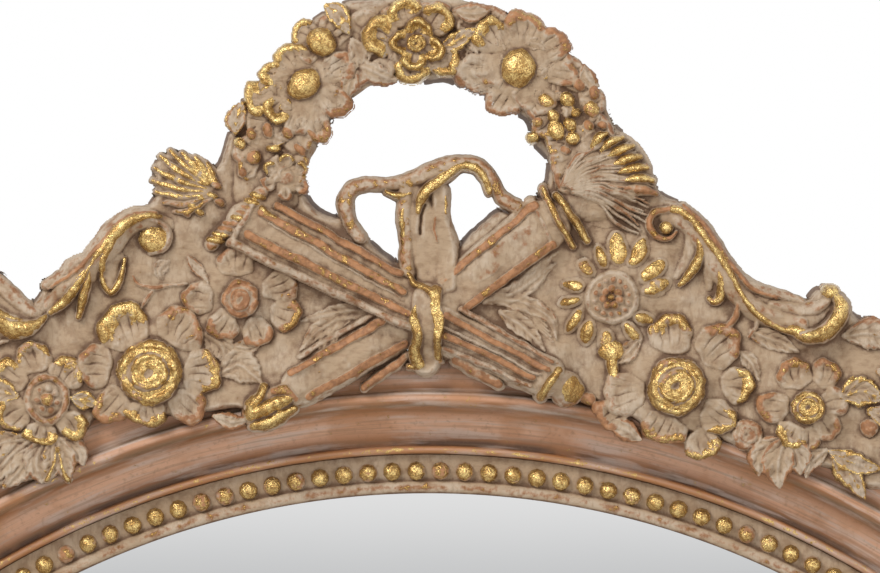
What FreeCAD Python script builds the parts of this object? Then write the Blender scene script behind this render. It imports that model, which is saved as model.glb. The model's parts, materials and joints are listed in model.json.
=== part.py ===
import FreeCAD, Part
import math
import os
from FreeCAD import Vector

os.makedirs("parts", exist_ok=True)

# Wall mirror with an oval moulded frame and a carved crest.
# The glass faces -Y and +Z is up. The origin lies on the wall, midway between the two hanger pivots.
# Heights t are measured forwards from the back of the frame, offsets u outwards from the sight edge.
# Places on the crest are (s, v): s along the sight edge from the top of the arc, v outwards from it.

# Oval sight opening: two end arcs and two side arcs that meet on a tangent
endRadius = 285.0
endCentreRise = 145.0
endHalfAngle = 45.0

# Stack in the rebate
glassThickness = 4.0
foamThickness = 2.0
backingThickness = 3.0
rebateWidth = 8.0
stackClearance = 1.5

# Beaded slip, glued on the tongue of the rails
tongueThickness = 2.5
tongueSetback = 1.5
slipLipWidth = 4.5
slipLipRise = 1.2
slipChannelWidth = 9.5
slipThickness = 2.7
slipClearance = 0.2
beadRadius = 3.05
beadPitch = 8.5
beadLift = 0.5
beadInset = 3.4

# Moulding members of the rails, from the slip outwards
astragalWidth = 3.0
astragalRise = 5.0
quirkWidth = 1.5
coveFloorRise = 3.0
coveWidth = 12.5
coveStep = 4.5
torusWidth = 5.0
outerQuirkWidth = 2.0
outerQuirkDepth = 1.5
ovoloWidth = 12.0
ovoloFall = 5.0
ovoloSwell = 1.6

# Dowelled joints of the rails
railDowelRadius = 4.0
railDowelLength = 40.0
railDowelInset = 14.0
railDowelSpacing = 16.0
railDowelHeight = 7.0

# Crest board, its dowels and glue blocks; angles from the top of the arc
boardThickness = 20.0
boardReach = 184.0
boardEndHeight = 2.0
boardWaist = 126.0
boardShoulderShare = 0.414
boardShoulderLeft = 80.0
boardShoulderRight = 78.0
boardSetback = 1.5
crownClearance = 0.3
crestDowelRadius = 3.0
crestDowelLength = 24.0
crestDowelAngles = (-24.0, -8.0, 8.0, 24.0)
glueBlockAngles = (-20.0, -4.0, 4.0, 20.0)
glueBlockSpan = 4.0
glueBlockReach = 20.0

# Strap hangers and wall bumpers on the side rails; angles from the middle of a side
hangerAngle = 25.0
strapWidth = 12.0
strapLength = 42.0
strapThickness = 1.5
strapCorner = 5.5
strapScrewInset = 9.0
ringWire = 1.5
ringInnerHalfWidth = 9.0
ringDrop = 25.0
ringClearance = 0.05
ringCorner = 3.0
knuckleWall = 1.5
knuckleLift = 0.2
bumperRadius = 10.0
bumperThickness = 8.0
bumperAngle = -40.0

# Clips that hold the backing board, and the pan-head screws
clipLength = 26.0
clipWidth = 10.0
clipThickness = 1.0
clipOverlap = 9.0
clipScrewInset = 6.0
clipAngles = (20.0, -20.0)
screwRadius = 1.6
screwLength = 14.0
screwHeadRadius = 3.2
screwHeadHeight = 1.4

# Wreath: a ring casting that carries flowers, a bud and two clusters of berries
wreathRise = 103.7
wreathInnerRadius = 41.0
wreathOuterRadius = 72.0
wreathThickness = 4.0
wreathBevel = 3.0
wreathStart = 4.0
wreathEnd = 178.0
wreathBud = dict(place=(-22.8, 160.0), radius=5.5, height=7.0)
berryClusters = ((-38.6, 127.5), (36.0, 130.0))
berryCount = 7
berryRadius = 2.6
berryPitch = 5.4

# Flowers: place, core (radius, height) and whorls of petals (radius, count, rim height, throat height, turn)
petalValley = 0.8
petalEdge = 0.45
petalShoulder = 0.8
petalThroat = 0.45
crestFlowers = {
    "rose_left": dict(place=(-82.9, 58.3), core=(8.5, 15.0),
                      whorls=((22.0, 7, 9.0, 4.0, 10.0), (14.0, 6, 12.5, 7.0, 40.0))),
    "rose_right": dict(place=(75.3, 49.5), core=(8.5, 15.0),
                       whorls=((22.0, 7, 9.0, 4.0, 35.0), (14.0, 6, 12.5, 7.0, 5.0))),
    "small_rose": dict(place=(-52.6, 74.1), core=(5.0, 12.0),
                       whorls=((16.5, 6, 8.0, 4.0, 20.0), (9.0, 5, 10.5, 6.0, 50.0))),
    "sunflower": dict(place=(50.7, 76.2), core=(10.0, 10.5), whorls=((19.0, 14, 7.5, 4.0, 0.0),)),
    "side_flower_left": dict(place=(-113.1, 61.3), core=(6.5, 9.5), whorls=((15.0, 7, 8.0, 3.5, 0.0),)),
    "side_flower_right": dict(place=(112.0, 56.6), core=(6.0, 9.5), whorls=((14.5, 6, 8.0, 3.5, 15.0),)),
}
wreathFlowers = {
    "wreath_flower_top": dict(place=(-3.5, 155.9), core=(4.5, 8.0), whorls=((14.5, 5, 8.0, 3.0, 18.0),)),
    "wreath_flower_left": dict(place=(-29.0, 146.2), core=(6.5, 10.0), whorls=((15.0, 5, 8.0, 3.0, 0.0),)),
    "wreath_flower_right": dict(place=(20.6, 149.0), core=(6.0, 10.0), whorls=((17.0, 6, 8.0, 3.0, 30.0),)),
    "wreath_floret": dict(place=(-34.7, 113.3), core=(2.2, 5.0), whorls=((6.0, 5, 4.5, 2.0, 0.0),)),
}

# Crossed quivers: mouth and tip, half widths there, and how far the crown is drawn in
quiverHeight = 12.0
quiverShoulder = 5.0
flutedQuiver = dict(mouth=(-47.9, 99.0), tip=(36.5, 45.5), mouthHalf=10.0, tipHalf=7.0, crown=0.7)
panelledQuiver = dict(mouth=(32.1, 97.8), tip=(-41.5, 40.5), mouthHalf=9.5, tipHalf=7.0, crown=0.85)
fluteCount = 4
fluteRadius = 1.1
panelDepth = 1.2
panelMargin = 2.4
budTips = {
    "bud_tip_left": dict(place=(-50.2, 35.2), radius=8.5, height=9.0),
    "bud_tip_right": dict(place=(41.5, 39.5), radius=6.5, height=8.0),
}
bandRadius = 2.4
mouthBands = {
    "quiver_band_left": ((-57.0, 96.0), (-44.5, 105.0)),
    "quiver_band_right": ((39.5, 96.0), (31.0, 108.0)),
}

# Ribbon: runs of the bow in the opening, and the two straps of its knot over the crossing, with their widths
ribbonThickness = 6.0
knotThickness = 3.0
stripCrown = 0.5
bowRuns = (
    (((-13, 84), (-19, 92), (-23, 101), (-20, 110), (-9, 112), (3, 114), (14, 118)), 5.5),
    (((10, 118), (17, 115), (23, 107), (26, 99)), 6.5),
    (((-6, 81), (-7, 97), (-6, 111)), 6.0),
    (((3, 77), (3, 96), (5, 113)), 10.0),
)
knotRuns = ((((-3.6, 46), (-3.6, 57), (-3.6, 68)), 5.0), (((2.6, 50), (2.6, 62), (2.6, 75)), 5.5))

# C-scrolls: centre line, volute and cup
scrollWidth = 7.2
scrollHeight = 7.0
voluteRadius = 5.5
scrolls = {
    "scroll_left": dict(volute=(-70.5, 103.0), cup=(-113.5, 99.0),
                        line=((-73.5, 110), (-78, 110), (-84, 105.4), (-89.5, 98.6), (-96.5, 92.6),
                              (-104, 87), (-110.5, 86), (-116, 91))),
    "scroll_right": dict(volute=(60.0, 102.5), cup=(106.5, 95.5),
                         line=((61, 109.5), (67, 108), (74.6, 100), (83, 88.7), (93, 82.5), (103, 82.4),
                               (109.8, 87), (111.5, 93))),
}

# Leaves: stem, tip and width of each blade; sprays and tails are given for the right side,
# and the tails' places are shares of the run from the board's waist to its end
leafHeight = 6.0
leafRidge = 0.35
fletchingBlades = (((-50, 103), (-67, 129), 13), ((-50, 103), (-60, 131), 12), ((-49, 104), (-52, 124), 11))
flameBlades = (((36, 104), (51, 129), 12), ((36, 103), (56, 122), 12), ((37, 102), (59, 114), 12))
sprayBlades = (((104, 47), (118, 33), 12), ((110, 46), (126, 36), 11), ((113, 47), (136, 42), 12))
tailBlades = (((-0.034, 64), (0.552, 74), 18), ((0.0, 55), (0.69, 50), 20), ((0.483, 56), (1.034, 52), 15))

# Sizes that follow from those above
frameWidth = (slipLipWidth + slipChannelWidth + astragalWidth + quirkWidth + coveWidth + torusWidth
              + outerQuirkWidth + ovoloWidth)
sideCentreShift = endCentreRise * math.tan(math.radians(endHalfAngle))
sideRadius = endRadius + endCentreRise / math.cos(math.radians(endHalfAngle))
sideHalfAngle = 90.0 - endHalfAngle
rebateDepth = backingThickness + foamThickness + glassThickness
slipSeat = rebateDepth + tongueThickness
channelFloor = slipSeat + slipThickness
beadOffset = slipLipWidth + beadInset
coveFloor = slipSeat + coveFloorRise
torusBase = coveFloor + coveWidth + coveStep
torusCrown = torusBase + torusWidth / 2
ovoloTop = torusBase - outerQuirkDepth
outerEdge = ovoloTop - ovoloFall
crestSeat = torusCrown + crownClearance
wreathSeat = crestSeat + wreathThickness
knotSeat = crestSeat + quiverHeight
boardBack = crestSeat - boardThickness
frameBackY = -bumperThickness
midBack = (rebateWidth + frameWidth) / 2
knuckleRadius = ringWire + ringClearance + knuckleWall
pivotY = frameBackY + knuckleLift + knuckleRadius
pivotX = -sideCentreShift + (sideRadius + midBack) * math.cos(math.radians(hangerAngle))
ovalZ = -(sideRadius + midBack) * math.sin(math.radians(hangerAngle)) - strapLength / 2
topZ = ovalZ + endCentreRise
bottomZ = ovalZ - endCentreRise

# Each arc of the oval: centre, sight radius, start angle and span, anticlockwise seen from the front
arcs = {
    "top": ((0.0, topZ), endRadius, 90.0 - endHalfAngle, 2 * endHalfAngle),
    "left": ((sideCentreShift, ovalZ), sideRadius, 180.0 - sideHalfAngle, 2 * sideHalfAngle),
    "bottom": ((0.0, bottomZ), endRadius, 270.0 - endHalfAngle, 2 * endHalfAngle),
    "right": ((-sideCentreShift, ovalZ), sideRadius, -sideHalfAngle, 2 * sideHalfAngle),
}


def point(x, z, t):
    return Vector(x, frameBackY - t, z)


def polar(centre, radius, degrees):
    angle = math.radians(degrees)
    return centre[0] + radius * math.cos(angle), centre[1] + radius * math.sin(angle)


def crest(s, v):
    angle = s / endRadius
    return (endRadius + v) * math.sin(angle), topZ + (endRadius + v) * math.cos(angle)


def across(a, b):
    # unit step to the left of the line from a to b
    length = math.hypot(b[0] - a[0], b[1] - a[1])
    return -(b[1] - a[1]) / length, (b[0] - a[0]) / length


def revolved(path, arc):
    # path: (u, t) corners; a corner of four numbers is reached by an arc through its first pair
    centre, radius, start, span = arc
    edges = []
    here = path[0]
    for step in path[1:] + path[:1]:
        a = Vector(radius + here[0], frameBackY - here[1], 0)
        b = Vector(radius + step[-2], frameBackY - step[-1], 0)
        if len(step) == 4:
            middle = Vector(radius + step[0], frameBackY - step[1], 0)
            edges.append(Part.Arc(a, middle, b).toShape())
        else:
            edges.append(Part.makeLine(a, b))
        here = step[-2:]
    solid = Part.Face(Part.Wire(edges)).revolve(Vector(0, 0, 0), Vector(0, -1, 0), span)
    solid.rotate(Vector(0, 0, 0), Vector(0, -1, 0), start)
    solid.translate(Vector(centre[0], 0, centre[1]))
    return solid


def forwards(face, thickness):
    return face.extrude(Vector(0, -thickness, 0))


def smooth(points):
    curve = Part.BSplineCurve()
    curve.interpolate(points)
    return curve.toShape()


def ovalFace(offset, t):
    edges = []
    for centre, radius, start, span in arcs.values():
        ends = [point(*polar(centre, radius + offset, start + span * k), t) for k in (0, 0.5, 1)]
        edges.append(Part.Arc(*ends).toShape())
    return Part.Face(Part.Wire(edges))


def rodAlongY(x, z, y, radius, length):
    # a round bar that starts at y and runs towards the wall
    return Part.makeCylinder(radius, length, Vector(x, y, z), Vector(0, 1, 0))


def panScrew(x, z, seatY):
    # shank into the frame, domed head towards the wall
    shank = rodAlongY(x, z, seatY - screwLength, screwRadius, screwLength)
    headSphere = (screwHeadRadius ** 2 + screwHeadHeight ** 2) / (2 * screwHeadHeight)
    ball = Part.makeSphere(headSphere, Vector(x, seatY + screwHeadHeight - headSphere, z))
    head = rodAlongY(x, z, seatY, screwHeadRadius, screwHeadHeight).common(ball)
    return shank.fuse(head)


def largest(shape):
    return max(shape.Solids, key=lambda solid: solid.Volume)


def save(name, shape):
    shape.exportStep("parts/" + name + ".step")


# Frame: four moulded rails with a rebate behind and a tongue for the slip
astragalStart = slipLipWidth + slipChannelWidth
quirkStart = astragalStart + astragalWidth
coveStart = quirkStart + quirkWidth
torusStart = coveStart + coveWidth
outerQuirkStart = torusStart + torusWidth
ovoloStart = outerQuirkStart + outerQuirkWidth
astragalSpring = slipSeat + astragalRise
coveBelly = coveWidth * (1 - math.sqrt(0.5))
railPath = (
    (rebateWidth, 0),
    (frameWidth, 0),
    (frameWidth, outerEdge),
    ((ovoloStart + frameWidth) / 2, (outerEdge + ovoloTop) / 2 + ovoloSwell, ovoloStart, ovoloTop),
    (outerQuirkStart, ovoloTop),
    (outerQuirkStart, torusBase),
    (torusStart + torusWidth / 2, torusCrown, torusStart, torusBase),
    (torusStart, torusBase - coveStep),
    (torusStart - coveBelly, coveFloor + coveBelly, coveStart, coveFloor),
    (quirkStart, coveFloor),
    (quirkStart, astragalSpring),
    (astragalStart + astragalWidth / 2, astragalSpring + astragalWidth / 2, astragalStart, astragalSpring),
    (astragalStart, slipSeat),
    (tongueSetback, slipSeat),
    (tongueSetback, rebateDepth),
    (rebateWidth, rebateDepth),
)
rails = {name: revolved(railPath, arc) for name, arc in arcs.items()}

# Dowels across the four joints of the rails
railDowels = []
for end, middle in (("top", 90.0), ("bottom", 270.0)):
    for jointAngle in (middle - endHalfAngle, middle + endHalfAngle):
        along = polar((0, 0), railDowelLength, jointAngle + 90)
        for k in range(2):
            radius = endRadius + rebateWidth + railDowelInset + railDowelSpacing * k
            x, z = polar(arcs[end][0], radius, jointAngle)
            base = point(x - along[0] / 2, z - along[1] / 2, railDowelHeight)
            axis = Vector(along[0], 0, along[1])
            railDowels.append(Part.makeCylinder(railDowelRadius, railDowelLength, base, axis))

# Dowels from the edge of the top rail up into the crest board
crestDowelHeight = (boardBack + outerEdge) / 2
crestDowels = []
for angle in crestDowelAngles:
    x, z = polar((0, topZ), endRadius + frameWidth - crestDowelLength / 2, 90 - angle)
    outwards = polar((0, 0), 1, 90 - angle)
    axis = Vector(outwards[0], 0, outwards[1])
    base = point(x, z, crestDowelHeight)
    crestDowels.append(Part.makeCylinder(crestDowelRadius, crestDowelLength, base, axis))

# Beaded slips: a lip at the sight edge, a channel and a row of beads
slipWidth = slipLipWidth + slipChannelWidth - slipClearance
slipFoot = rebateDepth + slipClearance
slipPath = (
    (0, slipFoot),
    (tongueSetback - slipClearance, slipFoot),
    (tongueSetback - slipClearance, slipSeat),
    (slipWidth, slipSeat),
    (slipWidth, channelFloor),
    (slipLipWidth, channelFloor),
    (slipLipWidth / 2, channelFloor + slipLipRise, 0, channelFloor),
)
slips = {}
for name, arc in arcs.items():
    centre, radius, start, span = arc
    count = round((radius + beadOffset) * math.radians(span) / beadPitch)
    beads = []
    for k in range(count):
        x, z = polar(centre, radius + beadOffset, start + span * (k + 0.5) / count)
        beads.append(Part.makeSphere(beadRadius, point(x, z, channelFloor + beadLift)))
    slips[name] = revolved(slipPath, arc).multiFuse(beads)

# Glass, foam cushion and backing board in the rebate
stackOffset = rebateWidth - stackClearance
backing = forwards(ovalFace(stackOffset, 0), backingThickness)
foam = forwards(ovalFace(stackOffset, backingThickness), foamThickness)
glass = forwards(ovalFace(stackOffset, backingThickness + foamThickness), glassThickness)

# Clips over the edge of the backing board, two on each arc
clips = []
clipScrews = []
for centre, radius, start, span in arcs.values():
    for clipAngle in clipAngles:
        angle = start + span / 2 + clipAngle
        innerEnd = radius + rebateWidth - clipOverlap
        ax, az = polar(centre, innerEnd + clipWidth / 2, angle)
        bx, bz = polar(centre, innerEnd + clipLength - clipWidth / 2, angle)
        outX, outZ = polar((0, 0), clipWidth / 2, angle)
        corners = [point(ax - outZ, az + outX, 0), point(bx - outZ, bz + outX, 0),
                   point(bx + outZ, bz - outX, 0), point(ax + outZ, az - outX, 0)]
        edges = [Part.makeLine(corners[0], corners[1]),
                 Part.Arc(corners[1], point(bx + outX, bz + outZ, 0), corners[2]).toShape(),
                 Part.makeLine(corners[2], corners[3]),
                 Part.Arc(corners[3], point(ax - outX, az - outZ, 0), corners[0]).toShape()]
        clip = forwards(Part.Face(Part.Wire(edges)), -clipThickness)
        x, z = polar(centre, innerEnd + clipLength - clipScrewInset, angle)
        screw = panScrew(x, z, frameBackY + clipThickness)
        clips.append(clip.cut(screw))
        clipScrews.append(screw)


def strapHanger(x):
    # a strap rolled round the leg of the ring at its top, with two screws
    plateTop = -knuckleRadius / 2
    left = x - strapWidth / 2
    plateFoot = Vector(left, frameBackY, plateTop - strapLength)
    plate = Part.makeBox(strapWidth, strapThickness, strapLength, plateFoot)
    lowCorners = [edge for edge in plate.Edges
                  if edge.BoundBox.XLength + edge.BoundBox.ZLength < strapThickness
                  and edge.CenterOfMass.z < plateTop - strapLength / 2]
    plate = plate.makeFillet(strapCorner, lowCorners)
    neck = Part.makeBox(strapWidth, strapThickness, -plateTop, Vector(left, frameBackY, plateTop))
    rollEnd = Vector(left, pivotY, 0)
    roll = Part.makeCylinder(knuckleRadius, strapWidth, rollEnd, Vector(1, 0, 0))
    bore = Part.makeCylinder(ringWire + ringClearance, strapWidth, rollEnd, Vector(1, 0, 0))
    screws = [panScrew(x, plateTop - inset, frameBackY + strapThickness)
              for inset in (strapScrewInset, strapLength - strapScrewInset)]
    return plate.fuse([neck, roll]).cut(bore).cut(screws[0]).cut(screws[1]), screws


def dRing(x):
    # wire bent to a D: leg through the roll, two corners, two sides and a half round, hanging down
    half = ringInnerHalfWidth + ringWire
    low = half - ringDrop
    bend = ringCorner * (math.sqrt(0.5) - 1)
    legLeft = Vector(x - half + ringCorner, pivotY, 0)
    legRight = Vector(x + half - ringCorner, pivotY, 0)
    sideRight = [Vector(x + half, pivotY, -ringCorner), Vector(x + half, pivotY, low)]
    sideLeft = [Vector(x - half, pivotY, low), Vector(x - half, pivotY, -ringCorner)]
    path = Part.Wire([
        Part.makeLine(legLeft, legRight),
        Part.Arc(legRight, Vector(x + half + bend, pivotY, bend), sideRight[0]).toShape(),
        Part.makeLine(*sideRight),
        Part.Arc(sideRight[1], Vector(x, pivotY, -ringDrop), sideLeft[0]).toShape(),
        Part.makeLine(*sideLeft),
        Part.Arc(sideLeft[1], Vector(x - half - bend, pivotY, bend), legLeft).toShape(),
    ])
    section = Part.Wire(Part.makeCircle(ringWire, legLeft, Vector(1, 0, 0)))
    return path.makePipeShell([section], True, False)


# Hangers and wall bumpers, one of each on both side rails
hangers = {"left": -1, "right": 1}
strapScrews = []
for name, side in hangers.items():
    strap, screws = strapHanger(side * pivotX)
    strapScrews.extend(screws)
    bumperX, bumperZ = polar((-sideCentreShift, ovalZ), sideRadius + midBack, bumperAngle)
    save("hanger_strap_" + name, strap)
    save("d_ring_" + name, dRing(side * pivotX))
    bumper = rodAlongY(side * bumperX, bumperZ, frameBackY, bumperRadius, bumperThickness)
    save("wall_bumper_" + name, bumper)

# Crest board: a fretted board on the edge of the top rail, with the ring of the wreath above it
boardFoot = frameWidth + boardEndHeight
tailRun = boardReach - boardWaist
boardShoulder = boardWaist + tailRun * boardShoulderShare
boardLeftEdge = ((-boardReach, boardFoot), (-boardShoulder, boardShoulderLeft), (-boardWaist, 94),
                 (-117, 104), (-111, 102), (-106, 92), (-97, 97), (-84, 106), (-71, 111), (-66, 121),
                 (-61, 128), (-53, 122), (-47, 122))
boardInnerEdge = ((-29, 113), (-21, 97), (-12, 84), (0, 80), (12, 86), (19, 95), (29, 109))
boardRightEdge = ((48, 120), (54, 118), (58, 111), (66, 109), (78, 95), (91, 88), (100, 89), (107, 98),
                  (114, 92), (boardWaist, 92), (boardShoulder, boardShoulderRight), (boardReach, boardFoot))
wreathCentre = crest(0, wreathRise)
wreathArc = (wreathCentre, 0, wreathStart, wreathEnd - wreathStart)
boardEdges = (boardLeftEdge, boardInnerEdge, boardRightEdge)
runs = [[point(*crest(*pair), boardBack) for pair in edge] for edge in boardEdges]
foot = [point(*crest(s, 0), boardBack) for s in (boardReach, -boardReach)]
outline = [smooth(runs[0]), Part.makeLine(runs[0][-1], runs[1][0]), smooth(runs[1]),
           Part.makeLine(runs[1][-1], runs[2][0]), smooth(runs[2]), Part.makeLine(runs[2][-1], foot[0]),
           Part.makeLine(foot[0], foot[1]), Part.makeLine(foot[1], runs[0][0])]
board = forwards(Part.Face(Part.Wire(outline)), boardThickness)
ringInner = wreathInnerRadius + boardSetback
ringOuter = wreathOuterRadius - boardSetback
ringBand = ((ringInner, boardBack), (ringOuter, boardBack),
            (ringOuter, crestSeat), (ringInner, crestSeat))
railEdge = rodAlongY(0, topZ, frameBackY - 2 * crestSeat, endRadius + frameWidth, 2 * crestSeat)
board = board.fuse(revolved(ringBand, wreathArc)).cut([railEdge] + crestDowels)

# Glue blocks in the corner behind the board and the top rail
blockEnd = frameWidth + glueBlockReach
blockPath = ((frameWidth, 0), (blockEnd, boardBack / 2), (blockEnd, boardBack), (frameWidth, boardBack))
glueBlocks = [revolved(blockPath, ((0, topZ), endRadius, 90 - angle - glueBlockSpan / 2, glueBlockSpan))
              for angle in glueBlockAngles]

# Castings of the crest, each cut clear of those placed before it
castings = {}


def place(name, shape):
    for other in castings.values():
        if shape.BoundBox.intersect(other.BoundBox):
            shape = largest(shape.cut(other))
    castings[name] = shape


def lobedDisc(centre, radius, count, turn, seat, height):
    # one arc for each petal
    valley = radius * petalValley
    edges = []
    for k in range(count):
        reaches = ((valley, 0), (radius, 0.5), (valley, 1))
        ends = [point(*polar(centre, r, turn + 360.0 * (k + part) / count), seat) for r, part in reaches]
        edges.append(Part.Arc(*ends).toShape())
    return forwards(Part.Face(Part.Wire(edges)), height)


def petalWhorl(centre, radius, count, rim, throat, turn, seat):
    # cupped petals: the lobed disc within a turned dish
    shoulder = radius * petalShoulder
    lip = (radius + shoulder) / 2
    dish = ((0, seat), (radius, seat), (radius, seat + rim * petalEdge),
            (lip, seat + rim * (1 + petalEdge) / 2 + (radius - lip) / 2, shoulder, seat + rim),
            (radius * petalThroat, seat + throat), (0, seat + throat))
    return lobedDisc(centre, radius, count, turn, seat, rim).common(revolved(dish, (centre, 0, 0, 360)))


def dome(centre, radius, height, seat):
    # a round cap, on a short drum where it is taller than its radius
    drum = max(height - radius, 0)
    cap = height - drum
    ball = (radius ** 2 + cap ** 2) / (2 * cap)
    middle = (math.asin((ball - cap) / ball) + math.pi / 2) / 2
    crown = seat + height
    path = ((0, seat), (radius, seat), (radius, seat + drum),
            (ball * math.cos(middle), crown - ball + ball * math.sin(middle), 0, crown))
    if drum == 0:
        path = path[:2] + path[3:]
    return revolved(path, (centre, 0, 0, 360))


def flower(plan, seat):
    centre = crest(*plan["place"])
    shape = dome(centre, *plan["core"], seat)
    for whorl in plan["whorls"]:
        shape = shape.fuse(petalWhorl(centre, *whorl, seat))
    return shape


def leafBlade(stem, tip, width, seat):
    # two arcs from stem to tip, drawn in towards a ridge
    a, b = crest(*stem), crest(*tip)
    side = across(a, b)
    middle = ((a[0] + b[0]) / 2, (a[1] + b[1]) / 2)
    wires = []
    for share, t in ((1.0, seat), (leafRidge, seat + leafHeight)):
        ends = [point(middle[0] + (x - middle[0]) * share, middle[1] + (z - middle[1]) * share, t)
                for x, z in (a, b)]
        bulge = [point(middle[0] + side[0] * w, middle[1] + side[1] * w, t)
                 for w in (width * share / 2, -width * share / 2)]
        wires.append(Part.Wire([Part.Arc(ends[0], bulge[0], ends[1]).toShape(),
                                Part.Arc(ends[1], bulge[1], ends[0]).toShape()]))
    return Part.makeLoft(wires, True, True)


def spray(blades, side=1):
    shapes = [leafBlade((side * stem[0], stem[1]), (side * tip[0], tip[1]), width, crestSeat)
              for stem, tip, width in blades]
    return largest(shapes[0].multiFuse(shapes[1:]))


def strip(line, width, height, seat):
    # a moulded strip along a smooth line, narrower on top than at its seat
    places = [crest(*pair) for pair in line]
    wires = []
    for share, t in ((1.0, seat), (stripCrown, seat + height)):
        sides = ([], [])
        for k, (x, z) in enumerate(places):
            step = across(places[max(k - 1, 0)], places[min(k + 1, len(places) - 1)])
            for side, reach in zip(sides, (share * width / 2, -share * width / 2)):
                side.append(point(x + step[0] * reach, z + step[1] * reach, t))
        wires.append(Part.Wire([smooth(sides[0]), Part.makeLine(sides[0][-1], sides[1][-1]),
                                smooth(sides[1][::-1]), Part.makeLine(sides[1][0], sides[0][0])]))
    return Part.makeLoft(wires, True, True)


def quiverLoft(plan, margin, bottom, shoulder, top):
    # tapered trough section, lofted from the mouth to the tip
    ends = [crest(*plan["mouth"]), crest(*plan["tip"])]
    side = across(*ends)
    wires = []
    for (x, z), half in zip(ends, (plan["mouthHalf"] - margin, plan["tipHalf"] - margin)):
        crown = half * plan["crown"]
        corners = [(half, bottom), (half, shoulder), (crown, top),
                   (-crown, top), (-half, shoulder), (-half, bottom), (half, bottom)]
        wires.append(Part.makePolygon([point(x + side[0] * n, z + side[1] * n, t) for n, t in corners]))
    return Part.makeLoft(wires, True, True)


def quiver(plan):
    return quiverLoft(plan, 0, crestSeat, crestSeat + quiverShoulder, crestSeat + quiverHeight)


def flutes(plan):
    # round grooves along the crown, drawn together towards the tip
    ends = [crest(*plan["mouth"]), crest(*plan["tip"])]
    side = across(*ends)
    grooves = []
    for k in range(fluteCount):
        share = plan["crown"] * ((k + 0.5) / fluteCount * 2 - 1)
        a, b = [point(x + side[0] * half * share, z + side[1] * half * share, crestSeat + quiverHeight)
                for (x, z), half in zip(ends, (plan["mouthHalf"], plan["tipHalf"]))]
        grooves.append(Part.makeCylinder(fluteRadius, (b - a).Length, a, b - a))
    return grooves


def halfRound(start, end, radius, seat):
    # half-round bar with its flat on the seat
    a, b = crest(*start), crest(*end)
    side = across(a, b)
    rims = [point(a[0] + side[0] * n, a[1] + side[1] * n, seat) for n in (radius, -radius)]
    section = [Part.Arc(rims[0], point(*a, seat + radius), rims[1]).toShape(),
               Part.makeLine(rims[1], rims[0])]
    return Part.Face(Part.Wire(section)).extrude(point(*b, seat) - point(*a, seat))


for name, plan in crestFlowers.items():
    place(name, flower(plan, crestSeat))

# The fluted quiver lies over the panelled one, which is notched into two lengths under it
place("quiver_fluted", quiver(flutedQuiver).cut(flutes(flutedQuiver)))
panelTop = crestSeat + quiverHeight
panel = quiverLoft(panelledQuiver, panelMargin, panelTop - panelDepth, panelTop, panelTop + panelDepth)
lengths = quiver(panelledQuiver).cut([panel, castings["quiver_fluted"]])
pair = sorted(lengths.Solids, key=lambda solid: -solid.Volume)[:2]
upper, lower = sorted(pair, key=lambda solid: -solid.CenterOfMass.z)
place("quiver_panelled", upper)
place("quiver_panelled_foot", lower)
for name, plan in budTips.items():
    place(name, dome(crest(*plan["place"]), plan["radius"], plan["height"], crestSeat))
for name, (start, end) in mouthBands.items():
    place(name, halfRound(start, end, bandRadius, crestSeat))
place("fletching", spray(fletchingBlades))
place("flame_tail", spray(flameBlades))

# Ribbon bow in the opening of the wreath, and the knot on the crown of the front quiver
bow = [strip(line, width, ribbonThickness, crestSeat) for line, width in bowRuns]
place("ribbon_bow", bow[0].multiFuse(bow[1:]))
knot = Part.makeCompound([strip(line, width, knotThickness, knotSeat) for line, width in knotRuns])

for name, plan in scrolls.items():
    ends = [dome(crest(*plan[part]), voluteRadius, scrollHeight, crestSeat) for part in ("volute", "cup")]
    place(name, strip(plan["line"], scrollWidth, scrollHeight, crestSeat).multiFuse(ends))

# Leaf sprays over the moulding, and the leaves that trail down both sides of the arc
tailSpray = [((boardWaist + a * tailRun, b), (boardWaist + c * tailRun, d), width)
             for (a, b), (c, d), width in tailBlades]
for name, side in hangers.items():
    place("leaf_spray_" + name, spray(sprayBlades, side))
    place("tail_leaves_" + name, spray(tailSpray, side))

# Wreath: a bevelled ring with flowers, a bud and berries on it
ringPath = ((wreathInnerRadius, crestSeat), (wreathOuterRadius, crestSeat),
            (wreathOuterRadius, wreathSeat - wreathBevel), (wreathOuterRadius - wreathBevel, wreathSeat),
            (wreathInnerRadius + wreathBevel, wreathSeat), (wreathInnerRadius, wreathSeat - wreathBevel))
place("wreath_ring", revolved(ringPath, wreathArc))
for name, plan in wreathFlowers.items():
    place(name, flower(plan, wreathSeat))
budCentre = crest(*wreathBud["place"])
place("wreath_bud", dome(budCentre, wreathBud["radius"], wreathBud["height"], wreathSeat))
berries = []
for cluster in berryClusters:
    middle = crest(*cluster)
    outer = berryCount - 1
    spots = [middle] + [polar(middle, berryPitch, 360.0 * k / outer) for k in range(outer)]
    berries.extend(dome(spot, berryRadius, berryRadius, wreathSeat) for spot in spots)

# Screws and dowels leave their holes in the rails
fastenings = clipScrews + strapScrews + railDowels + crestDowels
for name in arcs:
    save(name + "_rail", rails[name].cut(fastenings))
    save("bead_slip_" + name, slips[name])
save("rail_dowels", Part.makeCompound(railDowels))
save("mirror_glass", glass)
save("foam_cushion", foam)
save("backing_board", backing)
save("backing_clips", Part.makeCompound(clips))
save("clip_screws", Part.makeCompound(clipScrews))
save("hanger_screws", Part.makeCompound(strapScrews))
save("crest_dowels", Part.makeCompound(crestDowels))
save("crest_board", board)
save("glue_blocks", Part.makeCompound(glueBlocks))
save("ribbon_knot", knot)
save("wreath_berries", Part.makeCompound(berries))
for name, shape in castings.items():
    save(name, shape)
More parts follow.
